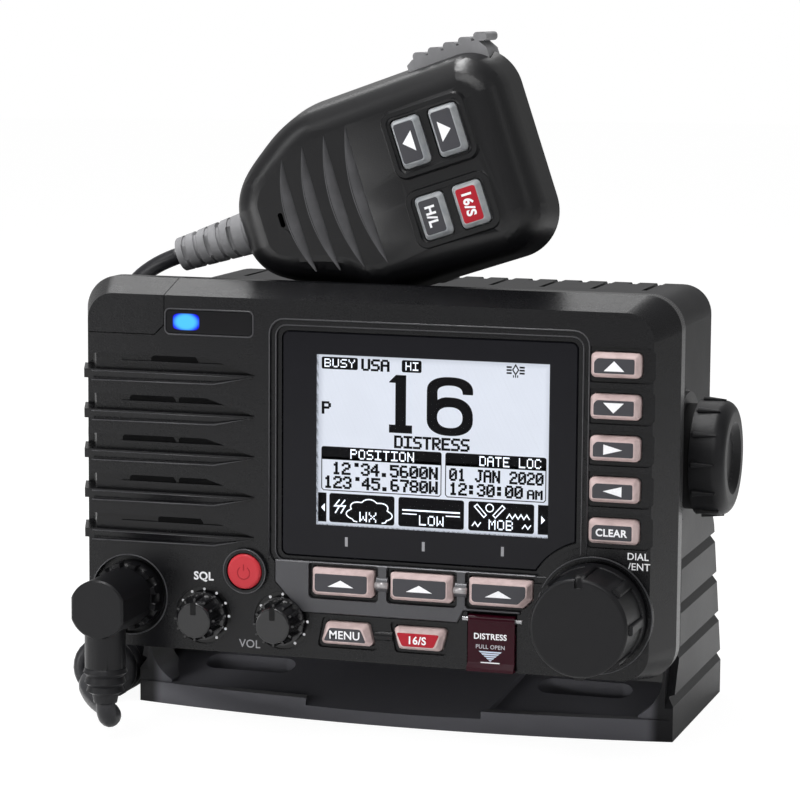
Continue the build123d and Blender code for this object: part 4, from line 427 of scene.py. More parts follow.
@dataclass(frozen=True)
class PrintedWindow(Recipe):
    """Gloss window, black behind its edge and clear over the lit field."""

    colour: Colour
    field_low: tuple[float, float]
    field_high: tuple[float, float]

    def inputs(self, g: Graph) -> dict[str, Any]:
        """Inputs of the shader: clear where X and Z lie inside the field."""
        print_mask = g.beyond(self.field_low, self.field_high).ramp(-0.00006, 0.00006)
        haze = g.noise(14.0, 3.0)
        tone = toned(self.colour, 1.5)
        return {
            "Base Color": g.blend(haze, self.colour, tone),
            "Roughness": haze * 0.05 + 0.07,
            "Specular IOR Level": 0.15,
            "Alpha": print_mask * 0.98 + 0.02,
            "Normal": g.bump(haze, 0.004),
        }


@dataclass(frozen=True)
class StatusWindow(Recipe):
    """Black gloss window with a blue lamp lit behind its left end."""

    lamp_x: float
    lamp_z: float
    half_w: float
    half_h: float

    def inputs(self, g: Graph) -> dict[str, Any]:
        """Inputs of the shader: the glow falls with the distance from the lamp's middle."""
        x, _, z = g.axes()
        across = ((x - self.lamp_x * MM) / (self.half_w * MM)).absolute()
        up = ((z - self.lamp_z * MM) / (self.half_h * MM)).absolute()
        inside = 1 - (across**4 + up**4).ramp(0.80, 1.12)
        core = 1 - (across * across + up * up * 0.8).ramp(0.30, 1.15)
        lit = g.blend(core, srgb(10, 16, 255), srgb(80, 205, 255))
        tone = g.noise(4.0, 3.0)
        return {
            "Base Color": g.blend(tone, srgb(6, 6, 8), srgb(12, 11, 14)),
            "Roughness": tone * 0.08 + 0.10,
            "Specular IOR Level": 0.25,
            "Emission Color": g.blend(inside, (0.0, 0.0, 0.0), lit),
            "Emission Strength": 1.0,
            "Normal": g.bump(tone, 0.01),
        }


@dataclass(frozen=True)
class LitFilm(Recipe):
    """Back-lit film that shows its own colour, slightly darker towards the rim."""

    colour: Colour
    rim: Colour
    field_low: tuple[float, float]
    field_high: tuple[float, float]

    def inputs(self, g: Graph) -> dict[str, Any]:
        """Inputs of the shader: the light falls off over the last 2 mm of the field."""
        glow = 1 - g.beyond(self.field_low, self.field_high).ramp(-0.0022, 0.0004)
        cloud = g.noise(22.0, 2.0)
        lit = g.blend(cloud.ramp(0.3, 0.7), self.colour, toned(self.colour, 0.96))
        return {
            "Base Color": (0.02, 0.02, 0.022),
            "Roughness": cloud * 0.05 + 0.3,
            "Emission Color": g.blend(glow, self.rim, lit),
            "Emission Strength": 1.0,
        }


@dataclass(frozen=True)
class PrintedInk(Recipe):
    """Screen-printed ink, slightly uneven in cover."""

    colour: Colour
    glow: float = 0.0

    def inputs(self, g: Graph) -> dict[str, Any]:
        """Inputs of the shader."""
        cover = g.noise(0.5, 3.0)
        worn = toned(self.colour, 0.9)
        return {
            "Base Color": g.blend(cover.ramp(0.25, 0.8), worn, self.colour),
            "Roughness": cover * 0.12 + 0.42,
            "Specular IOR Level": 0.1,
            "Emission Color": self.colour,
            "Emission Strength": self.glow,
        }


@dataclass(frozen=True)
class CordJacket(Recipe):
    """Extruded cord jacket: smooth, with faint lines and dust."""

    colour: Colour
    roughness: float = 0.36

    def inputs(self, g: Graph) -> dict[str, Any]:
        """Inputs of the shader."""
        dust = g.noise(1.6, 4.0)
        fine = g.noise(0.35, 2.0)
        light = toned(self.colour, 1.5, 0.004)
        return {
            "Base Color": g.blend(dust.ramp(0.4, 0.8), self.colour, light),
            "Roughness": (dust - 0.5) * 0.18 + self.roughness,
            "Specular IOR Level": 0.3,
            "Normal": g.bump(fine, 0.01),
        }


@dataclass(frozen=True)
class CircuitLaminate(Recipe):
    """Green laminate with copper tracks under its lacquer."""


    def inputs(self, g: Graph) -> dict[str, Any]:
        """Inputs of the shader."""
        tracks = g.cells(2.4)
        weave = g.noise(0.3, 2.0)
        return {
            "Base Color": g.blend(tracks.ramp(0.36, 0.42), srgb(20, 84, 44), srgb(34, 120, 58)),
            "Roughness": weave * 0.2 + 0.3,
            "Normal": g.bump(tracks, 0.02),
        }


class Finish(Enum):
    """Named finishes of the radio."""

    BODY = MouldedPlastic("body_plastic", srgb(15, 15, 17), 0.27, specular=0.26)
    # Paler than the body: painted highlight on the rounded edges.
    EDGE = MouldedPlastic("edge_highlight_plastic", srgb(56, 56, 59), 0.30, 0.5, 0.004, 0.1, specular=0.5)
    CAP = MouldedPlastic("cap_plastic", srgb(16, 16, 18), 0.28, specular=0.26)
    CASE = MouldedPlastic("case_plastic", srgb(22, 22, 24), 0.46, 0.5, 0.04, specular=0.12)
    # paler on the floor under the radio: painted light
    BRACKET = BracketPlastic("bracket_plastic", srgb(30, 30, 32), 0.42, 0.6)
    MIC_BODY = MouldedPlastic("mic_plastic", srgb(13, 13, 15), 0.33, 0.40, 0.02, specular=0.36)
    DIAL = MouldedPlastic("dial_plastic", srgb(18, 18, 20), 0.38, 0.30, 0.02, specular=0.22)
    KNOB = MouldedPlastic("knob_plastic", srgb(18, 18, 20), 0.22, 0.35, 0.01, 0.1, coat=0.2, specular=0.4)
    PLUG = MouldedPlastic("plug_plastic", srgb(17, 17, 19), 0.38, 0.35, 0.02, specular=0.22)
    THUMB = SoftRubber("thumb_rubber", srgb(19, 19, 21), 0.42)
    BOOT = SoftRubber("boot_rubber", srgb(24, 24, 26), 0.45)
    # Dark rubber of the gaskets, also laid as painted shade in the knobs' pointer notches.
    GASKET_AND_NOTCH_SHADE = SoftRubber("gasket_rubber_and_notch_shade", srgb(14, 14, 15), 0.7)
    # Pale grey on the microphone's groove floors: painted light.
    GROOVE_LIGHT = SoftRubber("groove_painted_light", srgb(72, 72, 74), 0.6)
    # Near black in the louvre slots: painted shade.
    SHADOW = SoftRubber("louvre_slot_shade", srgb(2, 2, 3), 0.9)
    GREY_RUBBER = SoftRubber("grey_rubber", srgb(122, 122, 124), 0.5)
    KEY_RIM = KeyRubber("key_rim", srgb(208, 186, 184), srgb(188, 166, 164))
    MIC_RIM = KeyRubber("mic_key_rim", srgb(166, 168, 170), srgb(144, 148, 152))
    KEY_FACE = MouldedPlastic("key_face", srgb(62, 62, 66), 0.5, 0.3, 0.012)
    RED_FACE = MouldedPlastic("red_face", srgb(160, 26, 40), 0.45, 0.3, 0.012)
    POWER = MouldedPlastic("power_red", srgb(182, 50, 58), 0.36, 0.3, 0.015)
    COVER = MouldedPlastic("cover_red", srgb(42, 2, 15), 0.16, 0.3, 0.008, 0.1, coat=0.05, specular=0.12)
    STEEL = BrushedMetal("steel", srgb(170, 170, 172), 0.28, 1)
    STUD = BrushedMetal("stud_steel", srgb(150, 150, 152), 0.34, 0)
    BRASS = BrushedMetal("plated_brass", srgb(205, 200, 186), 0.24, 1)
    TRIM = MetallicPaint("trim_paint", srgb(66, 66, 69))
    # Silver-grey paint, made paler partly as a painted highlight on the rounded bars.
    BAR = MetallicPaint("bar_paint_and_highlight", srgb(150, 147, 148), 0.3)
    # Gloss black, darker than the body as painted shade in the knob wells.
    WELL_SHADE = MouldedPlastic("well_gloss_and_shade", srgb(9, 9, 10), 0.22, 0.3, 0.004, 0.1, specular=0.3)
    INK = PrintedInk("white_ink", srgb(240, 240, 243))
    GREY_INK = PrintedInk("grey_ink", srgb(150, 150, 154))
    DIM_INK = PrintedInk("dim_ink", srgb(178, 176, 182))
    PALE_INK = PrintedInk("pale_ink", srgb(196, 206, 222))
    POWER_MARK = PrintedInk("power_mark", srgb(150, 40, 48))
    SEGMENT = PrintedInk("dark_segment", srgb(3, 3, 6))
    LIT_SEGMENT = PrintedInk("lit_segment", srgb(214, 220, 230), 1.0)
    CORD = CordJacket("cord_jacket", srgb(30, 30, 33))
    LAMINATE = CircuitLaminate("circuit_laminate")


class Paints:
    """Materials made once and shared by the pieces."""

    def __init__(self) -> None:
        """Start with none made."""
        self._made: dict[str, bpy.types.Material] = {}

    def get(self, finish: Any) -> bpy.types.Material:
        """Material of a finish, made at its first use."""
        maker = finish.value if isinstance(finish, Finish) else finish
        if maker.name not in self._made:
            self._made[maker.name] = maker.material()
        return self._made[maker.name]

    def dress(self, obj: bpy.types.Object, finish: Any) -> None:
        """Give an object one material.

        Args:
            obj: Mesh object.
            finish: Finish or finish dataclass.
        """
        obj.data.materials.clear()
        obj.data.materials.append(self.get(finish))
        obj.data.polygons.foreach_set("material_index", np.zeros(len(obj.data.polygons), np.int32))


# ---------------------------------------------------------------------------------------
# meshes
# ---------------------------------------------------------------------------------------


def linked(name: str, data: Any) -> bpy.types.Object:
    """New object in the scene."""
    obj = bpy.data.objects.new(name, data)
    bpy.context.scene.collection.objects.link(obj)
    return obj


def mesh_object(
    name: str, points: np.ndarray, faces: Sequence[Sequence[int]], smooth: bool = False
) -> bpy.types.Object:
    """Object at the origin from points in millimetres.

    Args:
        name: Name of the piece.
        points: Array of shape (n, 3).
        faces: Corner numbers of each face.
        smooth: Whether the faces are shaded smooth.

    Returns:
        The new object, linked to the scene.
    """
    mesh = bpy.data.meshes.new(name)
    mesh.from_pydata((np.asarray(points, float) * MM).tolist(), [], [list(f) for f in faces])
    mesh.validate()
    mesh.polygons.foreach_set("use_smooth", np.full(len(mesh.polygons), smooth))
    mesh.update()
    return linked(name, mesh)


def full_turn(count: int) -> np.ndarray:
    """Angles of a whole turn in equal steps."""
    return np.linspace(0, 2 * math.pi, count, endpoint=False)


def arc(angles: np.ndarray) -> np.ndarray:
    """Points (cos a, sin a) of the unit circle."""
    return np.stack([np.cos(angles), np.sin(angles)], -1)


def ring_of(centre: Sequence[float], radius: float, count: int = 72) -> np.ndarray:
    """Circle in a drawing plane: centre + radius (cos a, sin a)."""
    return np.asarray(centre, float) + radius * arc(full_turn(count))


def end_faces(rows: int, columns: int) -> list[list[int]]:
    """Polygons that close the first and the last row of a tube of points."""
    return [list(range(columns))[::-1], [(rows - 1) * columns + i for i in range(columns)]]


def grid_faces(rows: int, columns: int, close_rows: bool, close_columns: bool) -> np.ndarray:
    """Quads of a grid of points numbered row by row.

    Args:
        rows: Number of rows of points.
        columns: Number of points in a row.
        close_rows: Whether the last row joins the first.
        close_columns: Whether a row's last point joins its first.

    Returns:
        Array of shape (faces, 4).
    """
    i = np.arange(rows if close_rows else rows - 1)
    j = np.arange(columns if close_columns else columns - 1)
    ii, jj = np.meshgrid(i, j, indexing="ij")
    next_i, next_j = (ii + 1) % rows, (jj + 1) % columns
    corners = [ii * columns + jj, ii * columns + next_j, next_i * columns + next_j, next_i * columns + jj]
    return np.stack(corners, -1).reshape(-1, 4)


@dataclass(frozen=True)
class Flat:
    """A drawing plane: origin, first and second axis, and normal, in the row frame."""

    origin: tuple[float, float, float]
    along: tuple[float, float, float] = (1.0, 0.0, 0.0)
    up: tuple[float, float, float] = (0.0, 0.0, 1.0)

    @property
    def normal(self) -> np.ndarray:
        """Unit normal, towards the reader."""
        return np.cross(self.along, self.up)

    def at(self, points: np.ndarray, lift: float | np.ndarray = 0.0) -> np.ndarray:
        """Points of the plane in the row frame: origin + u along + v up + lift normal."""
        points = np.asarray(points, float)
        base = np.array(self.origin) + points[..., :1] * self.along + points[..., 1:2] * self.up
        return base + np.asarray(lift, float)[..., None] * self.normal


def face_plane(depth: float) -> Flat:
    """Plane parallel to the panel, depth behind its flat face; u is X and v is Z."""
    return Flat((0.0, FACE_Y + depth, 0.0))


def mic_plane(depth: float) -> Flat:
    """Plane across the microphone, depth behind the radio's flat face."""
    c, s = math.cos(math.radians(MIC_TILT)), math.sin(math.radians(MIC_TILT))
    return Flat((MIC_X, FACE_Y + depth, MIC_Z), (c, 0.0, s), (-s, 0.0, c))


def turned(points: np.ndarray, degrees: float) -> np.ndarray:
    """Flat points turned anticlockwise about the origin."""
    a = math.radians(degrees)
    return points @ np.array([[math.cos(a), math.sin(a)], [-math.sin(a), math.cos(a)]])


def rounded_outline(half_w: float, half_h: float, radius: float, steps: int = 6) -> np.ndarray:
    """Rectangle with quarter-circle corners, as points counted anticlockwise.

    Each corner is its centre plus radius times (cos a, sin a) over a quarter turn.
    """
    quarter = np.linspace(0, math.pi / 2, steps)
    arcs = []
    for k, (sx, sy) in enumerate(((1, 1), (-1, 1), (-1, -1), (1, -1))):
        a = quarter + k * math.pi / 2
        centre = np.array([sx * (half_w - radius), sy * (half_h - radius)])
        arcs.append(centre + radius * arc(a))
    return np.concatenate(arcs)


def rounded_polygon(corners: Sequence[Sequence[float]], radius: float) -> np.ndarray:
    """Polygon whose corners are drawn as short quadratic curves of five points.

    A corner's curve runs between the points radius away along its two sides:
    (1-t)^2 a + 2t(1-t) corner + t^2 b.
    """
    c = np.asarray(corners, float)
    before, after = np.roll(c, 1, axis=0) - c, np.roll(c, -1, axis=0) - c
    a = c + before / np.linalg.norm(before, axis=1, keepdims=True) * radius
    b = c + after / np.linalg.norm(after, axis=1, keepdims=True) * radius
    t = np.linspace(0, 1, 5)[None, :, None]
    curve = (1 - t) ** 2 * a[:, None] + 2 * t * (1 - t) * c[:, None] + t**2 * b[:, None]
    return curve.reshape(-1, 2)


def crowned_plate(
    name: str, outline: np.ndarray, flat: Flat, low: float, high: float, crown: float
) -> bpy.types.Object:
    """Thin plate with upright sides and a crowned top.

    The top is the outline scaled by s from 1 to 0 about its middle, lifted by
    high + crown (1 - s^2); the side drops from high to low.

    Args:
        name: Name of the piece.
        outline: Points of the plate's edge, anticlockwise.
        flat: Plane on which it lies.
        low: Height of its underside.
        high: Height of its top edge.
        crown: Rise of its middle over the top edge.

    Returns:
        The closed plate.
    """
    outline = np.asarray(outline, float)
    middle = outline.mean(0)
    scales = np.concatenate([[1.0, 1.0], np.linspace(0.985, 0.02, 5)])
    heights = np.concatenate([[low, high - 0.04], high + crown * (1 - scales[2:] ** 2)])
    flat_points = middle + (outline - middle) * scales[:, None, None]
    points = flat.at(flat_points, np.repeat(heights[:, None], len(outline), 1)).reshape(-1, 3)
    shape = len(scales), len(outline)
    return mesh_object(name, points, grid_faces(*shape, False, True).tolist() + end_faces(*shape))


def frames_along(path: np.ndarray) -> tuple[np.ndarray, np.ndarray]:
    """Two unit vectors across a path at each point, turned as little as possible.

    Each pair is the last one with its part along the new tangent taken away.
    """
    tangent = np.gradient(path, axis=0)
    tangent /= np.linalg.norm(tangent, axis=1, keepdims=True)
    seed = np.array([0.0, 0.0, 1.0]) if abs(tangent[0][2]) < 0.9 else np.array([1.0, 0.0, 0.0])
    sides = np.empty_like(path)
    current = seed
    for i, t in enumerate(tangent):
        current = current - t * (current @ t)
        current = current / np.linalg.norm(current)
        sides[i] = current
    return sides, np.cross(tangent, sides)


def tube(name: str, path: np.ndarray, radius: np.ndarray | float, sides: int) -> bpy.types.Object:
    """Closed round tube: path + radius (cos a first + sin a second) for a round the path.

    Args:
        name: Name of the piece.
        path: Points of the centreline in millimetres.
        radius: Radius, one number or one for each point.
        sides: Faces round the tube.

    Returns:
        The tube.
    """
    first, second = frames_along(path)
    a = full_turn(sides)[None, :, None]
    r = np.broadcast_to(np.asarray(radius, float), (len(path),))[:, None, None]
    points = path[:, None] + r * (np.cos(a) * first[:, None] + np.sin(a) * second[:, None])
    shape = len(path), sides
    faces = grid_faces(*shape, False, True).tolist() + end_faces(*shape)
    return mesh_object(name, points.reshape(-1, 3), faces, True)


def ribbon(
    points: Sequence[Sequence[float]], width: float, closed: bool
) -> tuple[np.ndarray, list[list[int]]]:
    """Flat line of a given width through points: each point plus and minus half the width
    times the mean of the normals of the two runs that meet there.

    Args:
        points: Corners of the line in the drawing plane.
        width: Width of the line.
        closed: Whether the last point joins the first.

    Returns:
        The points and the quads.
    """
    p = np.asarray(points, float)
    run = np.diff(np.vstack([p, p[:1]]) if closed else p, axis=0)
    normal = np.stack([-run[:, 1], run[:, 0]], -1) / np.linalg.norm(run, axis=1, keepdims=True)
    if closed:
        left, right = np.roll(normal, 1, axis=0), normal
    else:
        left, right = np.vstack([normal[:1], normal]), np.vstack([normal, normal[-1:]])
    mean = left + right
    mean /= np.maximum((mean * mean).sum(1, keepdims=True) / 2, 0.35)
    both = np.stack([p - mean * width / 2, p + mean * width / 2], 1).reshape(-1, 2)
    count = len(p)
    i = np.arange(count if closed else count - 1)
    j = (i + 1) % count
    return both, np.stack([2 * i, 2 * j, 2 * j + 1, 2 * i + 1], -1).tolist()


class Drawing:
    """Flat figures gathered into one thin mesh."""

    def __init__(self, name: str, flat: Flat, lift: float, thick: float = 0.03) -> None:
        """Start an empty drawing.

        Args:
            name: Name of the piece.
            flat: Plane it is drawn on.
            lift: Height of its top over the plane.
            thick: Its thickness.
        """
        self.name, self.flat, self.lift, self.thick = name, flat, lift, thick
        self.points: list[np.ndarray] = []
        self.faces: list[list[int]] = []
        self.count = 0

    def add(self, points: np.ndarray, faces: Sequence[Sequence[int]]) -> None:
        """Add points of the plane and their faces."""
        self.points.append(np.asarray(points, float))
        self.faces += [[c + self.count for c in f] for f in faces]
        self.count += len(points)

    def polygon(self, points: Sequence[Sequence[float]]) -> None:
        """Add one filled polygon."""
        self.add(np.asarray(points, float), [list(range(len(points)))])

    def line(self, points: Sequence[Sequence[float]], width: float, closed: bool = False) -> None:
        """Add a line of a given width."""
        self.add(*ribbon(points, width, closed))

    def box(self, low: Sequence[float], high: Sequence[float], radius: float = 0.0) -> None:
        """Add a filled rectangle, with round corners where radius is given."""
        middle, half = (np.array(low) + high) / 2, (np.array(high) - low) / 2
        if radius:
            self.polygon(middle + rounded_outline(half[0], half[1], radius, 4))
        else:
            self.polygon([low, (high[0], low[1]), high, (low[0], high[1])])

    def build(self) -> bpy.types.Object:
        """Close the figures into a thin solid and return the object."""
        flat_points = np.concatenate(self.points)
        top, bottom = (self.flat.at(flat_points, lift) for lift in (self.lift, self.lift - self.thick))
        shift = len(flat_points)
        faces = list(self.faces) + [[c + shift for c in f[::-1]] for f in self.faces]
        edges: dict[tuple[int, int], int] = {}
        for f in self.faces:
            for a, b in zip(f, f[1:] + f[:1]):
                edges[(a, b)] = edges.get((a, b), 0) + 1
        sides = [[b, a, a + shift, b + shift] for a, b in edges if (b, a) not in edges]
        return mesh_object(self.name, np.vstack([top, bottom]), faces + sides)


def beads(
    name: str, flat: Flat, paths: Sequence[tuple[np.ndarray, float, bool]], radius: float, sides: int = 8
) -> bpy.types.Object:
    """Rounded beads along flat paths: p + radius (cos a m, sin a n), where n is the plane's
    normal and m the mean of the two sideways normals at p, lengthened for a mitred corner.

    Args:
        name: Name of the piece.
        flat: Plane of the paths.
        paths: Points, height over the plane, and whether the path is closed.
        radius: Radius of the bead.
        sides: Faces round it.

    Returns:
        All beads as one mesh.
    """
    a = full_turn(sides)
    points, faces, count = [], [], 0
    for path, lift, closed in paths:
        p = np.asarray(path, float)
        run = np.roll(p, -1, axis=0) - p
        side = np.stack([-run[:, 1], run[:, 0]], -1) / np.linalg.norm(run, axis=1, keepdims=True)
        before = np.roll(side, 1, axis=0)
        if not closed:
            before[0], side[-1] = side[0], side[-2]
        mean = side + before
        mean /= np.maximum((mean * mean).sum(1, keepdims=True) / 2, 0.5)
        loop = p[:, None] + radius * np.cos(a)[None, :, None] * mean[:, None]
        lifts = np.broadcast_to(lift + radius * np.sin(a), (len(p), sides))
        points.append(flat.at(loop, lifts).reshape(-1, 3))
        quads = grid_faces(len(p), sides, closed, True).tolist()
        if not closed:
            quads += end_faces(len(p), sides)
        faces += [[c + count for c in q] for q in quads]
        count += len(p) * sides
    return mesh_object(name, np.vstack(points), faces, True)


GLYPHS = {
    "A": "01110 10001 10001 11111 10001 10001 10001",
    "B": "11110 10001 10001 11110 10001 10001 11110",
    "C": "01110 10001 10000 10000 10000 10001 01110",
    "D": "11110 10001 10001 10001 10001 10001 11110",
    "E": "11111 10000 10000 11110 10000 10000 11111",
    "H": "10001 10001 10001 11111 10001 10001 10001",
    "I": "11111 00100 00100 00100 00100 00100 11111",
    "J": "00111 00010 00010 00010 00010 10010 01100",
    "L": "10000 10000 10000 10000 10000 10000 11111",
    "M": "10001 11011 10101 10101 10001 10001 10001",
    "N": "10001 11001 11001 10101 10011 10011 10001",
    "O": "01110 10001 10001 10001 10001 10001 01110",
    "P": "11110 10001 10001 11110 10000 10000 10000",
    "R": "11110 10001 10001 11110 10100 10010 10001",
    "S": "01111 10000 10000 01110 00001 00001 11110",
    "T": "11111 00100 00100 00100 00100 00100 00100",
    "U": "10001 10001 10001 10001 10001 10001 01110",
    "W": "10001 10001 10001 10101 10101 11011 10001",
    "X": "10001 10001 01010 00100 01010 10001 10001",
    "Y": "10001 10001 01010 00100 00100 00100 00100",
    "0": "01110 10001 10011 10101 11001 10001 01110",
    "1": "00100 01100 00100 00100 00100 00100 01110",
    "2": "01110 10001 00001 00110 01000 10000 11111",
    "3": "01110 10001 00001 00110 00001 10001 01110",
    "4": "00010 00110 01010 10010 11111 00010 00010",
    "5": "11111 10000 11110 00001 00001 10001 01110",
    "6": "01110 10000 10000 11110 10001 10001 01110",
    "7": "11111 00001 00010 00010 00100 00100 00100",
    "8": "01110 10001 10001 01110 10001 10001 01110",
    ".": "00000 00000 00000 00000 00000 01100 01100",
    ":": "00000 01100 01100 00000 01100 01100 00000",
    "'": "00110 00110 00000 00000 00000 00000 00000",
    " ": "00000 00000 00000 00000 00000 00000 00000",
}


def dot_text(
    drawing: Drawing, text: str, left: float, bottom: float, width: float, height: float, bold: float
) -> None:
    """Draw text in a five by seven dot matrix, filling a box from edge to edge.

    A lit dot becomes a square of one cell; a run of lit dots in a row is one rectangle.

    Args:
        drawing: Drawing that takes the dots.
        text: Characters, all in GLYPHS.
        left: Left edge of the text.
        bottom: Lower edge of the text.
        width: Width over the whole text.
        height: Height of a character.
        bold: Growth of each rectangle to its left and right, as a share of a cell, and half of
            it up and down where it is positive.
    """
    columns = 6 * len(text) - 1
    cell_w, cell_h = width / columns, height / 7
    grow = max(bold, 0.0) * 0.5 * cell_h
    for k, character in enumerate(text):
        for row, bits in enumerate(GLYPHS[character].split()):
            start = None
            for column, bit in enumerate(bits + "0"):
                if bit == "1" and start is None:
                    start = column
                if bit == "0" and start is not None:
                    x0 = left + (6 * k + start - bold) * cell_w
                    x1 = left + (6 * k + column + bold) * cell_w
                    y1 = bottom + (7 - row) * cell_h
                    drawing.box((x0, y1 - cell_h * 1.04 - grow), (x1, y1 + grow))
                    start = None


def curve_mesh(curve: bpy.types.Curve) -> tuple[bpy.types.Mesh, np.ndarray]:
    """Mesh of a curve or of words, and the places of its vertices."""
    maker = linked(curve.name + "_curve", curve)
    bpy.context.view_layer.update()
    mesh = bpy.data.meshes.new_from_object(maker.evaluated_get(bpy.context.evaluated_depsgraph_get()))
    bpy.data.objects.remove(maker)
    co = np.empty(len(mesh.vertices) * 3)
    mesh.vertices.foreach_get("co", co)
    return mesh, co.reshape(-1, 3)


def lettering(
    name: str, text: str, flat: Flat, u: float, v: float, height: float, weight: float = 0.02,
    lift: float = 0.05, squeeze: float = 1.0, turn: float = 0.0,
) -> bpy.types.Object:
    """Printed words as a thin mesh.

    Args:
        name: Name of the piece.
        text: Words to print.
        flat: Plane they lie on.
        u: Middle of the words along the plane.
        v: Middle of the capitals up the plane.
        height: Height of a capital.
        weight: Extra thickness of the strokes, as a share of the size.
        lift: Height of the ink over the plane.
        squeeze: Width of the letters as a share of their usual width.
        turn: Angle by which the words are turned, in degrees.

    Returns:
        The words as one mesh object.
    """
    curve = bpy.data.curves.new(name, "FONT")
    curve.body = text
    curve.align_x = "CENTER"
    curve.align_y = "CENTER"
    size = height / 0.70
    curve.size = size * MM
    curve.offset = weight * size * MM
    curve.extrude = 0.02 * MM
    curve.resolution_u = 4
    curve.space_character = 1.03 + weight
    mesh, co = curve_mesh(curve)
    local = co - (co.min(0) + co.max(0)) / 2
    scale_v = height * MM / max(co[:, 1].max() - co[:, 1].min(), 1e-9)
    rise = 1.0 if any(ch in text for ch in "/Q") else scale_v
    local = local * np.array([squeeze * rise, rise, 1.0])
    placed = flat.at(turned(local[:, :2], turn) / MM + np.array([u, v]), lift + local[:, 2] / MM) * MM
    mesh.vertices.foreach_set("co", placed.astype(np.float32).ravel())
    mesh.materials.clear()
    mesh.name = name
    mesh.update()
    return linked(name, mesh)


# ---------------------------------------------------------------------------------------
# sub-assemblies
# ---------------------------------------------------------------------------------------


def smooth_copy(part: bpy.types.Object, node: str) -> None:
    """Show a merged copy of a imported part, shaded smooth except over edges sharper than SHARP.

    Args:
        part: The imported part, which stays as it is and isn't shown.
        node: Its name.
    """
    mesh = bmesh.new()
    mesh.from_mesh(part.data)
    bmesh.ops.remove_doubles(mesh, verts=mesh.verts, dist=SAME_PLACE * MM)
    data = part.data.copy()
    mesh.to_mesh(data)
    mesh.free()
    data.polygons.foreach_set("use_smooth", np.full(len(data.polygons), True))
    data.set_sharp_from_angle(angle=math.radians(SHARP))
    copy = linked(node + "_smooth", data)
    weigh = copy.modifiers.new("by_area", "WEIGHTED_NORMAL")
    weigh.keep_sharp = True
    weigh.weight = 100
    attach(copy, part["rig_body"])
    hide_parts(node)


class SubAssembly:
    """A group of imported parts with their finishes, and the pieces added to it."""

    nodes: dict[str, Finish] = {}
    curved: tuple[str, ...] = ()

    def __init__(self, frame: dict[str, Any], paints: Paints) -> None:
        """Keep the frame and the shared materials."""
        self.frame = frame
        self.paints = paints

    def dress(self) -> None:
        """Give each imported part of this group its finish."""
        for node, finish in self.nodes.items():
            part = self.frame["nodes"][node]
            self.paints.dress(part, finish)
            if node in self.curved:
                smooth_copy(part, node)

    def add(self, obj: bpy.types.Object, finish: Any, body: str = "radio", slot: str = "charcoal") -> None:
        """Finish a new piece and make it ride.

        Args:
            obj: The piece.
            finish: Its finish.
            body: Body that it moves with.
            slot: Material slot of the record that it belongs to; not used.
        """
        self.paints.dress(obj, finish)
        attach(obj, body)
        log.info("%s rides on %s", obj.name, body)

    def build(self) -> None:
        """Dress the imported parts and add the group's own pieces."""
        self.dress()


def front_of(node: str) -> float:
    """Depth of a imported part's foremost point, measured back from the flat face."""
    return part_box(node)[0].y / MM - FACE_Y


class Panel(SubAssembly):
    """Front panel with its cap, its printed words, and the dots of the level knobs, with gloss rings of
    painted shade in their wells.
    """

    nodes = {
        "front_panel": Finish.BODY,
        "corner_cap": Finish.CAP,
        "softkey_trim": Finish.TRIM,
        "mic_socket": Finish.PLUG,
        "distress_pin": Finish.STEEL,
        "case_gasket": Finish.GASKET_AND_NOTCH_SHADE,
    }
    words = (
        ("squelch_word", "SQL", -48.6, 48.0, 2.35, 0.03),
        ("volume_word", "VOL", -34.3, 29.0, 2.4, 0.006),
        ("dial_word", "DIAL", 81.3, 61.9, 2.0, 0.012),
        ("enter_word", "/ENT", 81.6, 59.0, 2.0, 0.012),
    )
    dot_ring, dot_radius, dot_count = 7.65, 0.42, 11
    dots_from, dots_to = 240, -60
    well_inner, well_outer, well_sides = 5.0, 8.35, 48
    knob_floor = 0.5

    def build(self) -> None:
        """Dress the panel and print its words and dots."""
        self.dress()
        face = face_plane(0.0)
        for name, text, x, z, height, weight in self.words:
            ink = Finish.GREY_INK if name == "volume_word" else Finish.INK
            self.add(lettering(name, text, face, x, z, height, weight), ink)
        floor = face_plane(self.knob_floor)
        marks, wells = Drawing("level_dots", floor, 0.05), Drawing("level_wells", floor, 0.025)
        dots = self.dot_ring * arc(np.radians(np.linspace(self.dots_from, self.dots_to, self.dot_count)))
        quads = grid_faces(2, self.well_sides, False, True)[:, ::-1].tolist()
        for _, x, z in LEVEL_KNOBS:
            for place in dots + (x, z):
                marks.polygon(ring_of(place, self.dot_radius, 16))
            rims = [ring_of((x, z), radius, self.well_sides) for radius in (self.well_inner, self.well_outer)]
            wells.add(np.vstack(rims), quads)
        # painted shade: dark rings on the floors of the knob wells
        self.add(wells.build(), Finish.WELL_SHADE)
        self.add(marks.build(), Finish.INK)


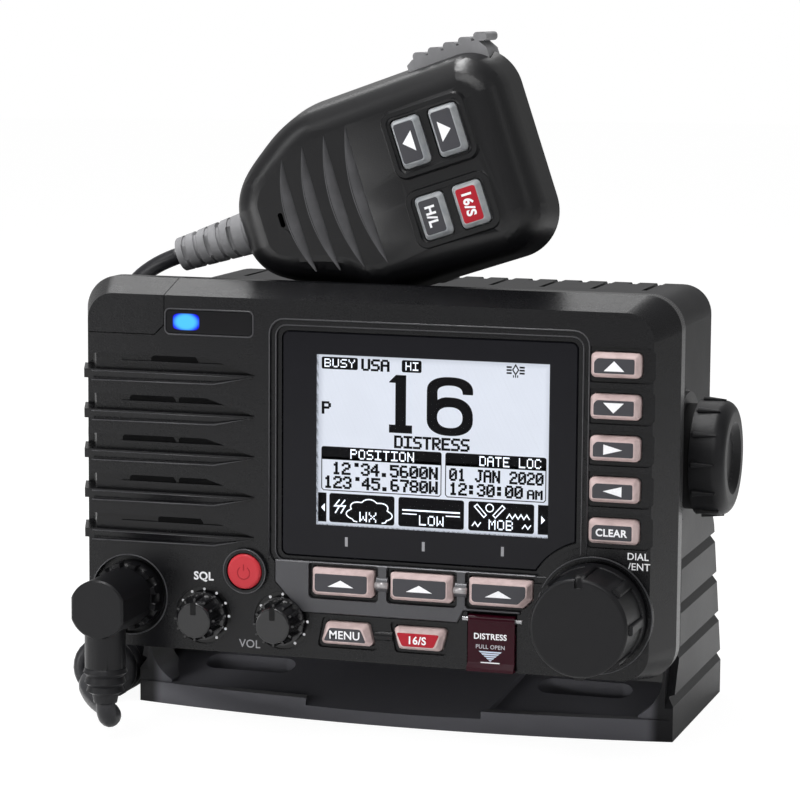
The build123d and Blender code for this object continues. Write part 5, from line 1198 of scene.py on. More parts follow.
class Louvres(SubAssembly):
    """Inlays in the five louvres, the flats at their right ends, and dark fields of painted shade in their
    slots."""

    top_z, pitch = 110.3, 11.87
    depth = 1.8
    left, right = -75.2, -33.6
    long_slot = -45.0  # a slot that ends right of this has a long point
    slots = (
        ((-65.5, -50.9),),
        ((-72.3, -57.9), (-57.0, -39.2)),
        ((-74.6, -57.9), (-57.0, -39.2)),
        ((-72.4, -57.9), (-57.0, -38.6)),
        ((-63.5, -49.4),),
    )

    def build(self) -> None:
        """Lay a strip in each louvre and a dark field of painted shade in each slot."""
        strip = Drawing("louvre_inlays", face_plane(self.depth), 0.10, 0.14)
        ends = Drawing("louvre_ends", face_plane(0.0), 0.03, 0.4)
        slot_shade = Drawing("louvre_slots", face_plane(self.depth), 0.16, 0.08)
        for row, slots in enumerate(self.slots):
            z = self.top_z - row * self.pitch
            low, high = self.left, self.right
            strip.polygon([(low, z - 1.7), (high - 4.5, z - 1.7), (high, z + 0.9), (high - 4.0, z + 2.2),
                           (low, z + 2.2)])
            ends.polygon([(-36.1, z - 1.35), (-34.5, z - 1.45), (-34.5, z + 1.45), (-45.1, z + 1.42)])
            for left, right in slots:
                point = 5.5 if right > self.long_slot else 0.9
                slot_shade.polygon([(left, z + 0.35), (right, z + 0.35), (right, z + 0.8),
                               (right - point, z + 2.15), (left + 0.8, z + 2.15), (left, z + 1.5)])
        self.add(strip.build(), Finish.BODY)
        self.add(ends.build(), Finish.BODY)
        # painted shade: dark fields in the slots
        self.add(slot_shade.build(), Finish.SHADOW)


class EdgeBeads(SubAssembly):
    """Rounded edges of the panel's lips, frames and rings, where the light catches; the beads are paler than
    the body as a painted highlight, and the bars between the soft keys are silver-grey paint made paler
    partly as a painted highlight.
    """

    radius, ring_radius, bar_radius = 0.20, 0.22, 0.95
    lip_left, lip_right, lip_cut, lip_drop, lip_height = -83.4, -33.6, -45.2, 2.8, 0.82
    # of each frame: how far it is grown, its corner's radius, its height
    lens_box, lens_outer, lens_inner = (-24.8, 62.8, 55.9, 121.3), (3.6, 4.4, -0.05), (1.8, 3.2, -0.72)
    window_box, window_rim = (-60.2, -33.7, 119.4, 126.2), (0.35, 1.5, 0.02)
    arch_foot = 54.3  # the outer frame of the lens is open below this, over the soft keys
    bar_places, bar_z, bar_half, bar_height = (6.3, 29.85), 49.1, 1.9, -0.35
    rings = ((POWER_PLACE, 6.45, 1.38), (DIAL_PLACE, 16.7, 0.88), (SOCKET_PLACE, 11.9, 0.0))

    @staticmethod
    def frame_path(box: Sequence[float], grow: float, radius: float) -> np.ndarray:
        """Rounded rectangle round a window, grown on every side."""
        left, right, bottom, top = box
        middle = np.array([(left + right) / 2, (bottom + top) / 2])
        return middle + rounded_outline((right - left) / 2 + grow, (top - bottom) / 2 + grow, radius)

    def build(self) -> None:
        """Lay the beads."""
        face, lips = face_plane(0.0), []
        for row in range(len(Louvres.slots)):
            crest = Louvres.top_z - Louvres.pitch * row - self.lip_drop
            lip = [(self.lip_left, crest), (self.lip_right, crest - 0.1), (self.lip_cut, crest - 2.5),
                   (self.lip_left, crest - 2.7)]
            lips.append((np.array(lip), self.lip_height, False))
        window, outer, inner = (
            (self.frame_path(box, grow, corner), height, True)
            for box, (grow, corner, height) in (
                (self.window_box, self.window_rim),
                (self.lens_box, self.lens_outer),
                (self.lens_box, self.lens_inner),
            )
        )
        upper = outer[0][: len(outer[0]) // 2]
        foot = [[(x, self.arch_foot)] for x in (upper[:, 0].max(), upper[:, 0].min())]
        arch = np.vstack([foot[0], upper, foot[1]])
        bar = np.array([(-self.bar_half, self.bar_z), (self.bar_half, self.bar_z)])
        bars = [(bar + (x, 0.0), self.bar_height, False) for x in self.bar_places]
        rings = [(ring_of(place, radius), height, True) for place, radius, height in self.rings]
        trim = face_plane(front_of("softkey_trim"))
        for piece, finish in (
            (beads("louvre_beads", face, lips, self.radius), Finish.EDGE),
            (beads("frame_beads", face, [window, (arch, outer[1], False), inner], self.radius), Finish.EDGE),
            (beads("soft_bars", trim, bars, self.bar_radius, 16), Finish.BAR),
            (beads("ring_beads", face, rings, self.ring_radius, 10), Finish.EDGE),
        ):
            self.add(piece, finish)


class Lamp(SubAssembly):
    """Status window and the lamp behind it."""

    glow = StatusWindow("status_window", lamp_x=-54.0, lamp_z=122.8, half_w=4.1, half_h=2.45)

    def build(self) -> None:
        """Dress the window with its glow."""
        self.paints.dress(self.frame["nodes"]["light_window"], self.glow)


class Display(SubAssembly):
    """Lens, lit film and the figures on it."""

    left, right, bottom, top = -14.4, 54.7, 65.3, 114.9
    film_depth = 2.9
    lens_depth = 1.4
    ticks, tick_z = (-5.2, 18.0, 41.5), 60.7
    dark, clear = 0.32, -0.12  # growth of the strokes of dark and of clear words
    # words: text, left, bottom, width, height
    dark_words = (
        ("USA", 13.1, 45.3, 8.2, 3.3),
        ("P", 1.2, 32.3, 2.5, 3.5),
        ("DISTRESS", 23.1, 23.4, 22.2, 3.5),
        ("12'34.5600N", 4.4, 14.8, 31.6, 3.5),
        ("123'45.6780W", 1.9, 10.7, 34.1, 3.5),
        ("01 JAN 2020", 39.6, 14.8, 27.6, 3.5),
        ("12:30:00", 39.6, 10.7, 21.6, 3.5),
        ("AM", 62.6, 10.7, 4.4, 2.6),
    )
    clear_words = (
        ("BUSY", 1.8, 45.9, 9.3, 2.4),
        ("HI", 26.2, 45.9, 3.9, 2.4),
        ("POSITION", 9.8, 19.5, 19.2, 2.8),
        ("DATE LOC", 48.4, 19.5, 18.2, 2.8),
        ("WX", 12.6, 1.3, 5.2, 2.9),
        ("LOW", 30.6, 1.3, 7.4, 2.9),
        ("MOB", 51.3, 1.3, 7.2, 2.9),
    )
    # filled boxes: left, bottom, right, top, radius of the corners
    fields = (
        (1.0, 45.3, 11.9, 48.8, 0.5),
        (25.1, 45.3, 31.0, 48.8, 0.5),
        (0.05, 0.7, 2.6, 9.2, 0.0),
        (3.5, 0.7, 23.2, 9.2, 0.7),
        (24.4, 0.7, 44.0, 9.2, 0.7),
        (45.3, 0.7, 64.7, 9.2, 0.7),
        (65.8, 0.7, 69.05, 9.2, 0.0),
    )
    panes = ((1.0, 37.2), (38.3, 68.1))

    def glass_and_film(self) -> None:
        """Dress the lens and the lit film."""
        low, high = (self.left, self.bottom), (self.right, self.top)
        window = PrintedWindow("display_window", srgb(15, 15, 19), low, high)
        film = LitFilm("lit_film", srgb(222, 228, 240), srgb(196, 202, 214), low, high)
        for node, finish in (("display_lens", window), ("lcd_panel", film)):
            self.paints.dress(self.frame["nodes"][node], finish)

    def link_sign(self, ink: Drawing) -> None:
        """Small sign in the upper right corner: bars on both sides of a diamond, with feet."""
        for left in (56.1, 59.9):
            for k in range(3):
                ink.box((left, 46.2 + 0.85 * k), (left + 1.5, 46.7 + 0.85 * k))
        ink.line([(58.75, 46.1), (59.6, 47.4), (58.75, 48.8), (57.9, 47.4)], 0.35, True)
        for k in (-1, 0, 1):
            ink.box((58.6 + 0.6 * k, 45.2), (58.9 + 0.6 * k, 45.9))

    def digit_one(self, ink: Drawing) -> None:
        """Large figure one: a slab foot, a stem and a short flag."""
        ink.polygon([(21.4, 27.7), (28.3, 27.7), (28.3, 30.05), (26.45, 30.05), (26.45, 44.45), (23.4, 44.45),
                     (21.4, 42.45), (21.4, 42.15), (23.25, 42.15), (23.25, 30.05), (21.4, 30.05)])

    def digit_six(self, ink: Drawing) -> None:
        """Large figure six: one band that runs from the tip of the hook, over the top, down
        the left side, round the bowl and back to the crotch. Its two edges are pieces of
        ovals |x/a|^p + |y/b|^p = 1 that are joined by straight lines."""

        def bend(
            centre_v: float, half_u: float, half_v: float, start: float, stop: float, count: int
        ) -> np.ndarray:
            """Piece of an oval from one angle to another, in degrees."""
            a = np.radians(np.linspace(start, stop, count))
            c, s = np.cos(a), np.sin(a)
            power = 2 / 2.35
            return np.stack([39.5 + half_u * np.sign(c) * np.abs(c) ** power,
                             centre_v + half_v * np.sign(s) * np.abs(s) ** power], -1)

        outer = np.concatenate([
            [(46.33, 39.6)], bend(40.4, 6.85, 4.1, 0, 180, 19), [(32.65, 37.86)],
            np.stack([np.full(6, 32.65), np.linspace(37.0, 32.9, 6)], -1),
            bend(32.3, 6.85, 4.7, 184, 360, 19), bend(32.9, 6.85, 5.8, 8, 90, 10),
            [(38.2, 38.68), (37.0, 38.45), (35.85, 37.86)]])
        inner = np.concatenate([
            [(43.3, 39.6)], bend(40.0, 3.72, 2.05, 8, 180, 19), [(35.85, 37.86)],
            bend(32.88, 3.77, 3.0, 125, 178, 6), bend(32.88, 3.77, 3.0, 184, 360, 19),
            bend(32.88, 3.77, 3.0, 8, 90, 10), bend(32.88, 3.77, 3.0, 98, 125, 3)])
        count = len(outer)
        i = np.arange(count - 1)
        ink.add(np.concatenate([outer, inner]), np.stack([i, i + 1, count + i + 1, count + i], -1).tolist())

    def weather(self, lit: Drawing) -> None:
        """Bolts and a cloud on the first soft key's field."""
        for shift in (0.0, 1.7):
            lit.line([(6.6 + shift, 7.4), (5.1 + shift, 5.5), (6.6 + shift, 5.6), (5.3 + shift, 3.4)], 0.4)
        bumps = np.linspace(0, 1, 60)
        radius = 1 + 0.2 * np.abs(np.sin(bumps * math.pi * 5)) - 0.06
        cloud = arc(math.pi * (1.15 - 1.3 * bumps)) * (6.1, 3.8) * radius[:, None] + (15.6, 3.6)
        lit.line(cloud, 0.33)
        lit.line([cloud[0], (10.9, 1.4), (12.0, 1.2)], 0.33)
        lit.line([cloud[-1], (20.6, 1.4), (19.4, 1.2)], 0.33)

    def power_level(self, lit: Drawing) -> None:
        """Lines on the second soft key's field."""
        lit.line([(25.6, 5.5), (42.8, 5.5)], 0.45)
        lit.line([(25.6, 4.4), (29.9, 4.4)], 0.3)
        lit.line([(38.6, 4.4), (42.8, 4.4)], 0.3)

    def man_overboard(self, lit: Drawing) -> None:
        """Raised arms, a head and waves on the third soft key's field."""
        stroke = 0.32
        for flip in (-1, 1):
            arm = np.array([(1.0, 5.4), (3.7, 8.4), (4.5, 7.7), (1.7, 4.7)]) * (flip, 1) + (51.6, 0)
            lit.line(arm, stroke, True)
        lit.line(ring_of((51.6, 7.5), 1.1, 18), stroke, True)
        for left, right, count, middle, swing in (
            (56.6, 63.4, 9, 5.4, 0.65), (46.4, 49.0, 4, 2.6, 0.6), (61.2, 63.8, 4, 2.6, 0.6)
        ):
            heights = middle + swing * np.where(np.arange(count) % 2, 1.0, -1.0)
            lit.line(np.stack([np.linspace(left, right, count), heights], -1), stroke)

    def figures(self) -> None:
        """Draw the dark and the lit figures of the display."""
        film = Flat((self.left, FACE_Y + self.film_depth, self.bottom))
        ink = Drawing("display_figures", film, 0.06)
        lit = Drawing("display_clear_figures", film, 0.10)
        for word in self.dark_words:
            dot_text(ink, *word, self.dark)
        for word in self.clear_words:
            dot_text(lit, *word, self.clear)
        for left, bottom, right, top, radius in self.fields:
            ink.box((left, bottom), (right, top), radius)
        self.link_sign(ink)
        self.digit_one(ink)
        self.digit_six(ink)
        for low, high in self.panes:
            ink.box((low, 19.0), (high, 22.8), 0.7)
            ink.box((low, 19.0), (high, 19.8))
            ink.line([(low + 0.12, 19.4), (low + 0.12, 10.6), (low + 0.7, 10.0), (high - 0.7, 10.0),
                      (high - 0.12, 10.6), (high - 0.12, 19.4)], 0.26)
        lit.polygon([(1.0, 4.9), (2.1, 3.7), (2.1, 6.1)])
        lit.polygon([(67.9, 4.9), (66.8, 6.1), (66.8, 3.7)])
        self.weather(lit)
        self.power_level(lit)
        self.man_overboard(lit)
        self.add(ink.build(), Finish.SEGMENT, slot="lcd")
        self.add(lit.build(), Finish.LIT_SEGMENT, slot="lcd")

    def build(self) -> None:
        """Dress the display and draw on it."""
        self.glass_and_film()
        self.figures()
        marks = Drawing("lens_ticks", face_plane(self.lens_depth), 0.05)
        for x in self.ticks:
            marks.box((x - 0.42, self.tick_z - 1.35), (x + 0.42, self.tick_z + 1.35))
        self.add(marks.build(), Finish.GREY_INK, slot="lens")


@dataclass
class Key:
    """One key: its node, the plate on its face and the mark printed on it."""

    node: str
    outline: np.ndarray
    finish: Finish = Finish.KEY_FACE
    label: str = ""
    label_height: float = 2.2
    label_weight: float = 0.02
    turn: float = 0.0
    mark: Sequence[Sequence[float]] = field(default_factory=list)
    flat: Flat | None = None

    @property
    def body(self) -> str:
        """Body that the key moves with."""
        return self.node + "_body"


class KeyGroup(SubAssembly):
    """Keys with a light rim, a dark face plate and a printed mark."""

    rim = Finish.KEY_RIM
    plate_low, plate_rise, crown = -0.25, 0.16, 0.10

    def keys(self) -> list[Key]:
        """Keys of the group."""
        return []

    def build(self) -> None:
        """Dress each key and add its face plate and mark."""
        for key in self.keys():
            self.paints.dress(self.frame["nodes"][key.node], self.rim)
            flat = key.flat or face_plane(front_of(key.node))
            middle = (key.outline.min(0) + key.outline.max(0)) / 2
            heights = self.plate_low, self.plate_rise, self.crown
            plate = crowned_plate(key.node + "_face", key.outline, flat, *heights)
            self.add(plate, key.finish, key.body, "key")
            lift = self.plate_rise + self.crown + 0.03
            if key.label:
                word = lettering(key.node + "_word", key.label, flat, middle[0], middle[1], key.label_height,
                                 key.label_weight, lift, turn=key.turn)
                self.add(word, Finish.INK, key.body, "key")
            if len(key.mark):
                sign = Drawing(key.node + "_mark", flat, lift)
                sign.polygon(middle + np.asarray(key.mark, float))
                self.add(sign.build(), Finish.INK, key.body, "key")


def triangle(angle: float, length: float, width: float) -> np.ndarray:
    """Triangle that points at an angle, about its own middle."""
    base = np.array([(length / 2, 0.0), (-length / 2, width / 2), (-length / 2, -width / 2)])
    return turned(base, angle)


class PanelKeys(KeyGroup):
    """Ten keys of the front panel."""

    column = (("key_up", 90), ("key_down", -90), ("key_right", 0), ("key_left", 180))
    column_x, column_top, pitch = 74.2, 115.7, 11.75
    column_w, column_h, column_cut = 14.3, 7.0, 1.0
    # of each soft key: its middle and how far its lower corners are cut, left and right
    soft = (
        ("softkey_left", -5.5, 0.6, 0.6),
        ("softkey_middle", 18.1, 0.6, 0.6),
        ("softkey_right", 41.6, 0.6, 2.2),
    )
    soft_z, soft_w, soft_h = 49.1, 18.6, 8.0
    lower_z, lower_h, lower_wide, lower_narrow = 34.1, 6.5, 16.0, 12.6
    inset = 1.4

    def soft_outline(self, x: float, cut_left: float, cut_right: float) -> np.ndarray:
        """Face of a soft key, drawn in from the key's edge."""
        w, h = self.soft_w / 2 - self.inset, self.soft_h / 2 - self.inset
        z = self.soft_z
        corners = [(x - w, z + h), (x - w, z - h + cut_left), (x - w + cut_left, z - h),
                   (x + w - cut_right, z - h), (x + w, z - h + cut_right), (x + w, z + h)]
        return rounded_polygon(corners, 0.55)

    def lower_outline(self, x: float, top: float, bottom: float) -> np.ndarray:
        """Face of a key of the lower row."""
        h = self.lower_h / 2 - self.inset * 0.95
        t, b = top / 2 - self.inset * 1.15, bottom / 2 - self.inset * 1.15
        z = self.lower_z
        return rounded_polygon([(x - t, z + h), (x - b, z - h), (x + b, z - h), (x + t, z + h)], 0.7)

    def column_outline(self, row: int) -> np.ndarray:
        """Face of a key of the column, with its outer top corner cut."""
        w, h, cut = self.column_w / 2 - self.inset, self.column_h / 2 - self.inset, self.column_cut
        x, z = self.column_x, self.column_top - row * self.pitch
        corners = [(x - w + cut, z + h), (x - w, z + h - cut), (x - w, z - h), (x + w, z - h), (x + w, z + h)]
        return rounded_polygon(corners, 0.5)

    def keys(self) -> list[Key]:
        """Keys in their order down the column and along the rows."""
        made = []
        for row, (node, angle) in enumerate(self.column):
            size = (2.9, 5.9) if abs(angle) == 90 else (5.4, 2.9)
            made.append(Key(node, self.column_outline(row), mark=triangle(angle, *size)))
        made.append(Key("key_clear", self.column_outline(4), Finish.KEY_FACE, "CLEAR", 2.2, 0.03))
        for node, x, left, right in self.soft:
            made.append(Key(node, self.soft_outline(x, left, right), mark=triangle(90, 2.0, 7.8)))
        menu = self.lower_outline(-4.2, self.lower_narrow, self.lower_wide)
        made.append(Key("key_menu", menu, Finish.KEY_FACE, "MENU", 2.4, 0.014))
        channel = self.lower_outline(17.8, self.lower_wide, self.lower_narrow)
        made.append(Key("key_channel16", channel, Finish.RED_FACE, "16/S", 2.2, 0.024))
        return made


class RedSwitches(SubAssembly):
    """Power button and the covered alert switch."""

    nodes = {"power_button": Finish.POWER, "distress_cover": Finish.COVER, "distress_button": Finish.RED_FACE}
    sign_radius, sign_width = 1.9, 0.28
    print_x, print_depth = 38.9, -1.0

    def build(self) -> None:
        """Dress the switches, print the cover and mould the power sign."""
        self.dress()
        sign = Drawing("power_sign", face_plane(front_of("power_button")), 0.06, 0.2)
        x, z = POWER_PLACE
        broken_ring = self.sign_radius * arc(np.radians(np.linspace(125, 415, 26))) + (x, z - 0.3)
        sign.line(broken_ring, self.sign_width)
        sign.line([(x, z + 0.4), (x, z + 2.2)], self.sign_width)
        self.add(sign.build(), Finish.POWER_MARK, "power", "red_key")
        face, x = face_plane(self.print_depth), self.print_x
        arrow, dash = Drawing("cover_arrow", face, 0.05), Drawing("cover_dash", face, 0.05)
        for k in range(5):
            z, half = 32.0 - 0.62 * k, 3.4 - 0.72 * k
            foot = half - 0.42
            arrow.polygon([(x - half, z), (x - foot, z - 0.42), (x + foot, z - 0.42), (x + half, z)])
        dash.box((x - 2.8, 28.4), (x + 2.8, 28.85))
        for piece, ink in (
            (lettering("alert_word", "DISTRESS", face, x, 36.3, 1.75, 0.022, squeeze=0.98), Finish.INK),
            (lettering("pull_word", "PULL OPEN", face, x, 33.3, 1.2, 0.012), Finish.DIM_INK),
            (arrow.build(), Finish.PALE_INK),
            (dash.build(), Finish.INK),
        ):
            self.add(piece, ink, "cover", "red_cover")


class Knobs(SubAssembly):
    """Channel dial, level knobs and the bracket's thumb knobs, with their shafts and studs."""

    curved = ("channel_dial", "squelch_knob", "volume_knob", "thumb_knob_left", "thumb_knob_right")
    nodes = {
        "channel_dial": Finish.DIAL,
        "dial_shaft": Finish.BRASS,
        "squelch_knob": Finish.KNOB,
        "volume_knob": Finish.KNOB,
        "squelch_shaft": Finish.STEEL,
        "volume_shaft": Finish.STEEL,
        "thumb_knob_left": Finish.THUMB,
        "thumb_knob_right": Finish.THUMB,
        "stud_left": Finish.STUD,
        "stud_right": Finish.STUD,
        "control_bodies": Finish.STEEL,
    }


class PointerShades(SubAssembly):
    """Dark strips of painted shade in the pointer notches of the level knobs."""

    half_w, low, high = 0.85, 1.6, 5.15

    def build(self) -> None:
        """Lay one strip on each level knob."""
        for name, x, z in LEVEL_KNOBS:
            strip = Drawing(name + "_pointer", face_plane(front_of(name + "_knob")), 0.05, 0.4)
            strip.box((x - self.half_w, z + self.low), (x + self.half_w, z + self.high), 0.25)
            # the strip is painted shade in the notch
            self.add(strip.build(), Finish.GASKET_AND_NOTCH_SHADE, name)


class Microphone(KeyGroup):
    """Hand microphone with its keys, talk button and strain relief."""

    curved = ("mic_front", "mic_back", "ptt_button", "mic_relief")
    nodes = {
        "mic_front": Finish.MIC_BODY,
        "mic_back": Finish.MIC_BODY,
        "mic_screws": Finish.STEEL,
        "hanger_stud": Finish.STEEL,
        "mic_capsule": Finish.GASKET_AND_NOTCH_SHADE,
        "mic_relief": Finish.GREY_RUBBER,
        "ptt_button": Finish.GREY_RUBBER,
    }
    rim = Finish.MIC_RIM
    columns = (10.5, 22.2)
    key_w, upper, lower = 8.8, (6.6, 14.4), (-15.7, 12.8)  # width; middle and height of each row
    grooves = ((-29.0, 34.5), (-21.8, 38.0), (-14.4, 40.5), (-7.2, 42.0))
    groove_bow, groove_wide, groove_deep, groove_mid = 3.8, 3.4, 1.7, -3.8
    front_depth = 19.0
    inset = 1.35

    def keys(self) -> list[Key]:
        """The four keys of the microphone."""
        made = []
        for node, column, (v, height), finish, label, angle in (
            ("mic_key_down", 0, self.upper, Finish.KEY_FACE, "", 180),
            ("mic_key_up", 1, self.upper, Finish.KEY_FACE, "", 0),
            ("mic_key_level", 0, self.lower, Finish.KEY_FACE, "H/L", 0),
            ("mic_key_channel16", 1, self.lower, Finish.RED_FACE, "16/S", 0),
        ):
            outline = rounded_outline(self.key_w / 2 - self.inset, height / 2 - self.inset, 0.8)
            mark = [] if label else triangle(angle, 3.4, 6.0)
            made.append(Key(node, outline + (self.columns[column], v), finish, label, 2.8, 0.035, -90.0, mark,
                            mic_plane(front_of(node))))
        return made

    def scoop(self, name: str, u: float, height: float) -> bpy.types.Object:
        """Sloping floor of one bowed groove.

        Along the groove s runs from -1 to 1. Its left side is u - bow (1 - s^2), its right
        side is u - (bow - wide)(1 - s^2), and between them the floor falls by a cosine from
        the surface to the groove's depth.
        """
        s = np.linspace(-0.985, 0.985, 41)
        swell = 1 - s**2
        left = u - (self.groove_bow + 0.5) * swell
        right = u - (self.groove_bow - self.groove_wide) * swell - 0.55 * swell
        across = np.linspace(0, 1, 9)
        top_u = left[:, None] + (right - left)[:, None] * across
        top_lift = 0.05 - self.groove_deep * swell[:, None] ** 0.6 * (1 - np.cos(across * math.pi / 2)) ** 0.8
        v = self.groove_mid + s * height / 2
        loop_u = np.concatenate([top_u, top_u[:, ::-1]], 1)
        loop_lift = np.concatenate([top_lift, top_lift[:, ::-1] - 0.25], 1)
        flat = np.stack([loop_u, np.broadcast_to(v[:, None], loop_u.shape)], -1)
        points = mic_plane(self.front_depth).at(flat, loop_lift).reshape(-1, 3)
        rows, columns = loop_u.shape
        faces = grid_faces(rows, columns, False, True).tolist() + end_faces(rows, columns)
        return mesh_object(name, points, [face[::-1] for face in faces])

    def build(self) -> None:
        """Dress the microphone and its keys, and line the grooves of its grille with pale floors: painted
        light on floors that face the lamps.
        """
        self.dress()
        super().build()
        for k, (u, height) in enumerate(self.grooves):
            self.add(self.scoop(f"grille_floor_{k + 1}", u, height), Finish.GROOVE_LIGHT, "microphone")


class Case(SubAssembly):
    """Rear case, its sockets and the parts inside."""

    nodes = {
        "rear_case": Finish.CASE,
        "case_screws": Finish.STEEL,
        "main_board": Finish.LAMINATE,
        "front_board": Finish.LAMINATE,
        "speaker": Finish.STEEL,
        "aerial_socket": Finish.BRASS,
        "cable_glands": Finish.GASKET_AND_NOTCH_SHADE,
    }


class Bracket(SubAssembly):
    """Bracket and the washers between its arms and the thumb knobs."""

    nodes = {"bracket": Finish.BRACKET, "arm_washers": Finish.GASKET_AND_NOTCH_SHADE}


class Plug(SubAssembly):
    """Angled plug with its coupling ring and boot."""

    curved = ("plug_body", "plug_ring", "plug_boot")
    nodes = {"plug_body": Finish.PLUG, "plug_ring": Finish.PLUG, "plug_boot": Finish.BOOT}


class Cord(SubAssembly):
    """Microphone cord: a tail at each end and the curly part between them."""

    wire, plug_wire, coil = 5.0, 5.6, 20.0
    relief_depth = 35.0
    turns = 25
    coil_route = ((-94.4, -17.0, 10.1), (-95.8, 30.0, 10.1), (-96.2, 72.0, 10.1), (-80.0, 108.0, 10.1))
    plug_exit = (-72.0, -65.9, 12.9)
    behind = ((-98, 10, 108), (-101, 28, 76), (-104, 44, 47), (-107, 64, 24), (-110, 89, 8.5),
              (-112.4, 114.3, 3.2), (-111.2, 132.2, 2.8), (-97.1, 142.6, 2.8), (-80.6, 138.4, 5.6))

    def spline(self, name: str, points: Sequence[Sequence[float]], steps: int) -> np.ndarray:
        """Points read from a smooth spline through a route.

        Args:
            name: Name of the spline.
            points: Route in millimetres.
            steps: Points between two control points.

        Returns:
            Array of shape (n, 3), in millimetres.
        """
        curve = bpy.data.curves.new(name, "CURVE")
        curve.dimensions = "3D"
        line = curve.splines.new("NURBS")
        line.points.add(len(points) - 1)
        for point, place in zip(line.points, points):
            point.co = (*(c * MM for c in place), 1.0)
        line.order_u = 3
        line.use_endpoint_u = True
        line.resolution_u = steps
        mesh, co = curve_mesh(curve)
        bpy.data.meshes.remove(mesh)
        return co / MM

    def plug_tail(self) -> None:
        """Straight cord from the plug's boot to the curly part."""
        start = np.array(self.coil_route[0])
        way = start - np.array(self.coil_route[1])
        before = start + way / np.linalg.norm(way) * 13.0
        route = [self.plug_exit, (-72.0, -65.9, 9.4), (-72.0, -62.5, 7.0), (-75.0, -52.9, 6.4),
                 (-86.0, -42.5, 7.6), tuple(before), tuple(start)]
        path = self.spline("plug_tail_route", route, 16)
        radius = np.interp(np.linspace(0, 1, len(path)), [0, 0.5, 0.8, 1], [2.8, 2.8, 2.55, 2.5])
        self.declare("cord_at_plug", path, radius, self.plug_wire, "cord_plug_tail", "radio", "bracket")

    def declare(
        self, name: str, path: np.ndarray, radius: Any, wide: float, node: str | None, first: str,
        second: str, end: np.ndarray | None = None, sides: int = 16,
    ) -> None:
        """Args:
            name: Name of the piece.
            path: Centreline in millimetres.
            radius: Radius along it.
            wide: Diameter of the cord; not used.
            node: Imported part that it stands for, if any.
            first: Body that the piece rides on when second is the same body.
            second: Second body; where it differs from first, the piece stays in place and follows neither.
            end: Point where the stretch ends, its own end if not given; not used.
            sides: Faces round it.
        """
        piece = tube(name, path, radius, sides)
        self.paints.dress(piece, Finish.CORD)
        if node:
            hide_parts(node)
        tuple(path[0] * MM)
        (path * MM).tolist()
        if first == second:
            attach(piece, first)
        else:
            end = path[-1] if end is None else end
            tuple(path[0] * MM)
            tuple(end * MM)
            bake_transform(piece)

    def curl(self) -> None:
        """Curly part: the route plus a circle that turns round it, which opens from the axis
        over the first turn and closes over the last."""
        axis = self.spline("coil_route", self.coil_route, 60)
        run = np.concatenate([[0], np.cumsum(np.linalg.norm(np.diff(axis, axis=0), axis=1))])
        t = np.linspace(0, 1, self.turns * 28 + 1)
        along = t * run[-1]
        line = np.stack([np.interp(along, run, axis[:, k]) for k in range(3)], -1)
        first, second = frames_along(line)
        angle = 2 * math.pi * self.turns * t
        opening = np.clip(np.minimum(t, 1 - t) * self.turns / 0.9, 0, 1)
        radius = (self.coil - self.wire) / 2 * np.sin(opening * math.pi / 2)
        helix = line + radius[:, None] * (np.cos(angle)[:, None] * first + np.sin(angle)[:, None] * second)
        self.declare("cord_curl", helix, self.wire / 2, self.wire, "cord_coil", "bracket", "bracket",
                     sides=12)

    def mic_tail(self) -> None:
        """Straight cord from the microphone's relief down to the far end of the curly part."""
        end = np.array(self.coil_route[-1])
        way = end - np.array(self.coil_route[-2])
        before = end + way / np.linalg.norm(way) * 16.0
        plane = mic_plane(self.relief_depth)
        tip, on = plane.at(np.array([-73.8, -3.4])), plane.at(np.array([-92.3, -3.4]))
        route = [tuple(tip), tuple(on), *self.behind, tuple(before), tuple(end)]
        path = self.spline("mic_tail_route", route, 14)
        falling = path[: int(len(path) * 0.6) + 1, 2]
        split = int(np.argmin(np.abs(falling - self.behind[1][2])))
        self.declare("cord_at_mic", path[: split + 1], self.wire / 2, self.wire, "cord_mic_tail",
                     "microphone", "radio")
        self.declare("cord_behind", path[split:], self.wire / 2, self.wire, None, "radio", "bracket",
                     np.array(self.behind[3]))

    def build(self) -> None:
        """Make the three stretches."""
        self.plug_tail()
        self.curl()
        self.mic_tail()


@dataclass(frozen=True)
class Softbox:
    """Area lamp aimed at a point; places are in metres and the size is its two sides."""

    name: str
    place: tuple[float, float, float]
    aim: tuple[float, float, float]
    power: float
    size: tuple[float, float]


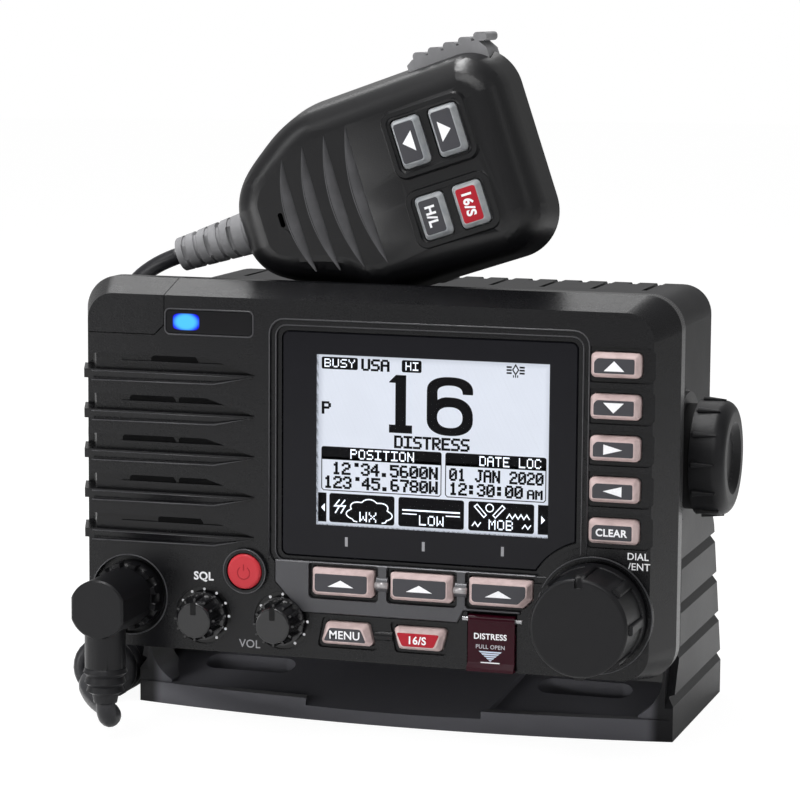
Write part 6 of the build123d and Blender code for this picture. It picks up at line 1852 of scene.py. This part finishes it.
class Studio:
    """Floor, world, lamps and camera."""

    camera_place = (0.2730, -0.8967, 0.2226)
    camera_aim = (0.01112, -0.047, 0.10297)
    camera_roll = 0.42
    lens = 141.653
    ambient = 0.30
    mirrored = 0.13
    floor_radius = 4000.0
    boxes = (
        Softbox("top_box", (-0.20, -0.02, 0.95), (0.0, 0.0, 0.08), 9.0, (0.80, 0.12)),
        Softbox("front_box", (0.05, -1.00, 1.00), (0.0, 0.0, 0.08), 6.0, (0.8, 0.4)),
        Softbox("right_box", (0.85, -0.30, 0.45), (0.0, 0.0, 0.10), 0.4, (0.18, 0.7)),
        Softbox("left_box", (-0.80, -0.55, 0.60), (0.0, 0.0, 0.08), 1.8, (0.2, 0.6)),
        Softbox("back_box", (-0.25, 0.70, 0.70), (0.0, 0.0, 0.12), 1.2, (0.7, 0.2)),
        Softbox("low_box", (-0.55, -0.50, 0.06), (0.0, 0.0, 0.015), 0.9, (0.3, 0.07)),
    )

    def world(self) -> None:
        """World that is white to the camera and plain light to the object."""
        world = bpy.data.worlds.new("studio_world")
        bpy.context.scene.world = world
        g = Graph(world)
        light, seen = (
            g.node("ShaderNodeBackground", {}, {"Color": (1.0, 1.0, 1.0), "Strength": strength}).outputs[0]
            for strength in (self.ambient, 1.0)
        )
        g.finish(g.node("ShaderNodeMixShader", {}, {0: g.bare(self.mirrored), 1: light, 2: seen}))

    def floor(self) -> None:
        """Large pale floor under the bracket."""
        rim = np.column_stack([ring_of((0.0, 0.0), self.floor_radius, 64), np.zeros(64)])
        floor = mesh_object("floor", rim, [list(range(64))])
        g = Graph(bpy.data.materials.new("floor_paper"))
        paper = g.node("ShaderNodeBsdfDiffuse", {}, {"Color": (0.9, 0.9, 0.9)}).outputs[0]
        glow = g.node("ShaderNodeEmission", {}, {"Color": (1.0, 1.0, 1.0), "Strength": 1.12}).outputs[0]
        seen = g.bare(self.mirrored) * 0.85
        floor.data.materials.append(g.finish(g.node("ShaderNodeMixShader", {}, {0: seen, 1: paper, 2: glow})))

    @staticmethod
    def facing(place: Sequence[float], aim: Sequence[float]) -> Quaternion:
        """Turn that points an object's -Z axis from its place to its aim."""
        return (Vector(aim) - Vector(place)).to_track_quat("-Z", "Y")

    def lamps(self) -> None:
        """Hang the softboxes."""
        for box in self.boxes:
            data = bpy.data.lights.new(box.name, "AREA")
            data.shape = "RECTANGLE"
            data.size, data.size_y = box.size
            data.energy = box.power
            lamp = linked(box.name, data)
            lamp.location = box.place
            lamp.rotation_euler = self.facing(box.place, box.aim).to_euler()

    def camera(self) -> None:
        """Set the camera."""
        data = bpy.data.cameras.new("camera")
        data.sensor_width = 36.0
        data.lens = self.lens
        data.clip_start, data.clip_end = 0.01, 20.0
        cam = linked("camera", data)
        look = self.facing(self.camera_place, self.camera_aim).to_matrix().to_4x4()
        turn = Matrix.Rotation(math.radians(self.camera_roll), 4, "Z")
        cam.matrix_world = Matrix.Translation(Vector(self.camera_place)) @ look @ turn
        bpy.context.scene.camera = cam

    def build(self) -> None:
        """Make the whole studio."""
        bpy.context.scene.view_settings.view_transform = "Standard"
        self.camera()
        self.world()
        self.floor()
        self.lamps()


def main() -> None:
    """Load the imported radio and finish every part."""
    logging.basicConfig(level=logging.INFO, format="%(message)s")
    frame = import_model()
    Studio().build()
    paints = Paints()
    for group in (
        Cord, Panel, Louvres, EdgeBeads, Lamp, Display, PanelKeys, RedSwitches, Knobs, PointerShades,
        Microphone, Case, Bracket, Plug,
    ):
        group(frame, paints).build()
        log.info("built %s", group.__name__)


if __name__ == "__main__":
    main()
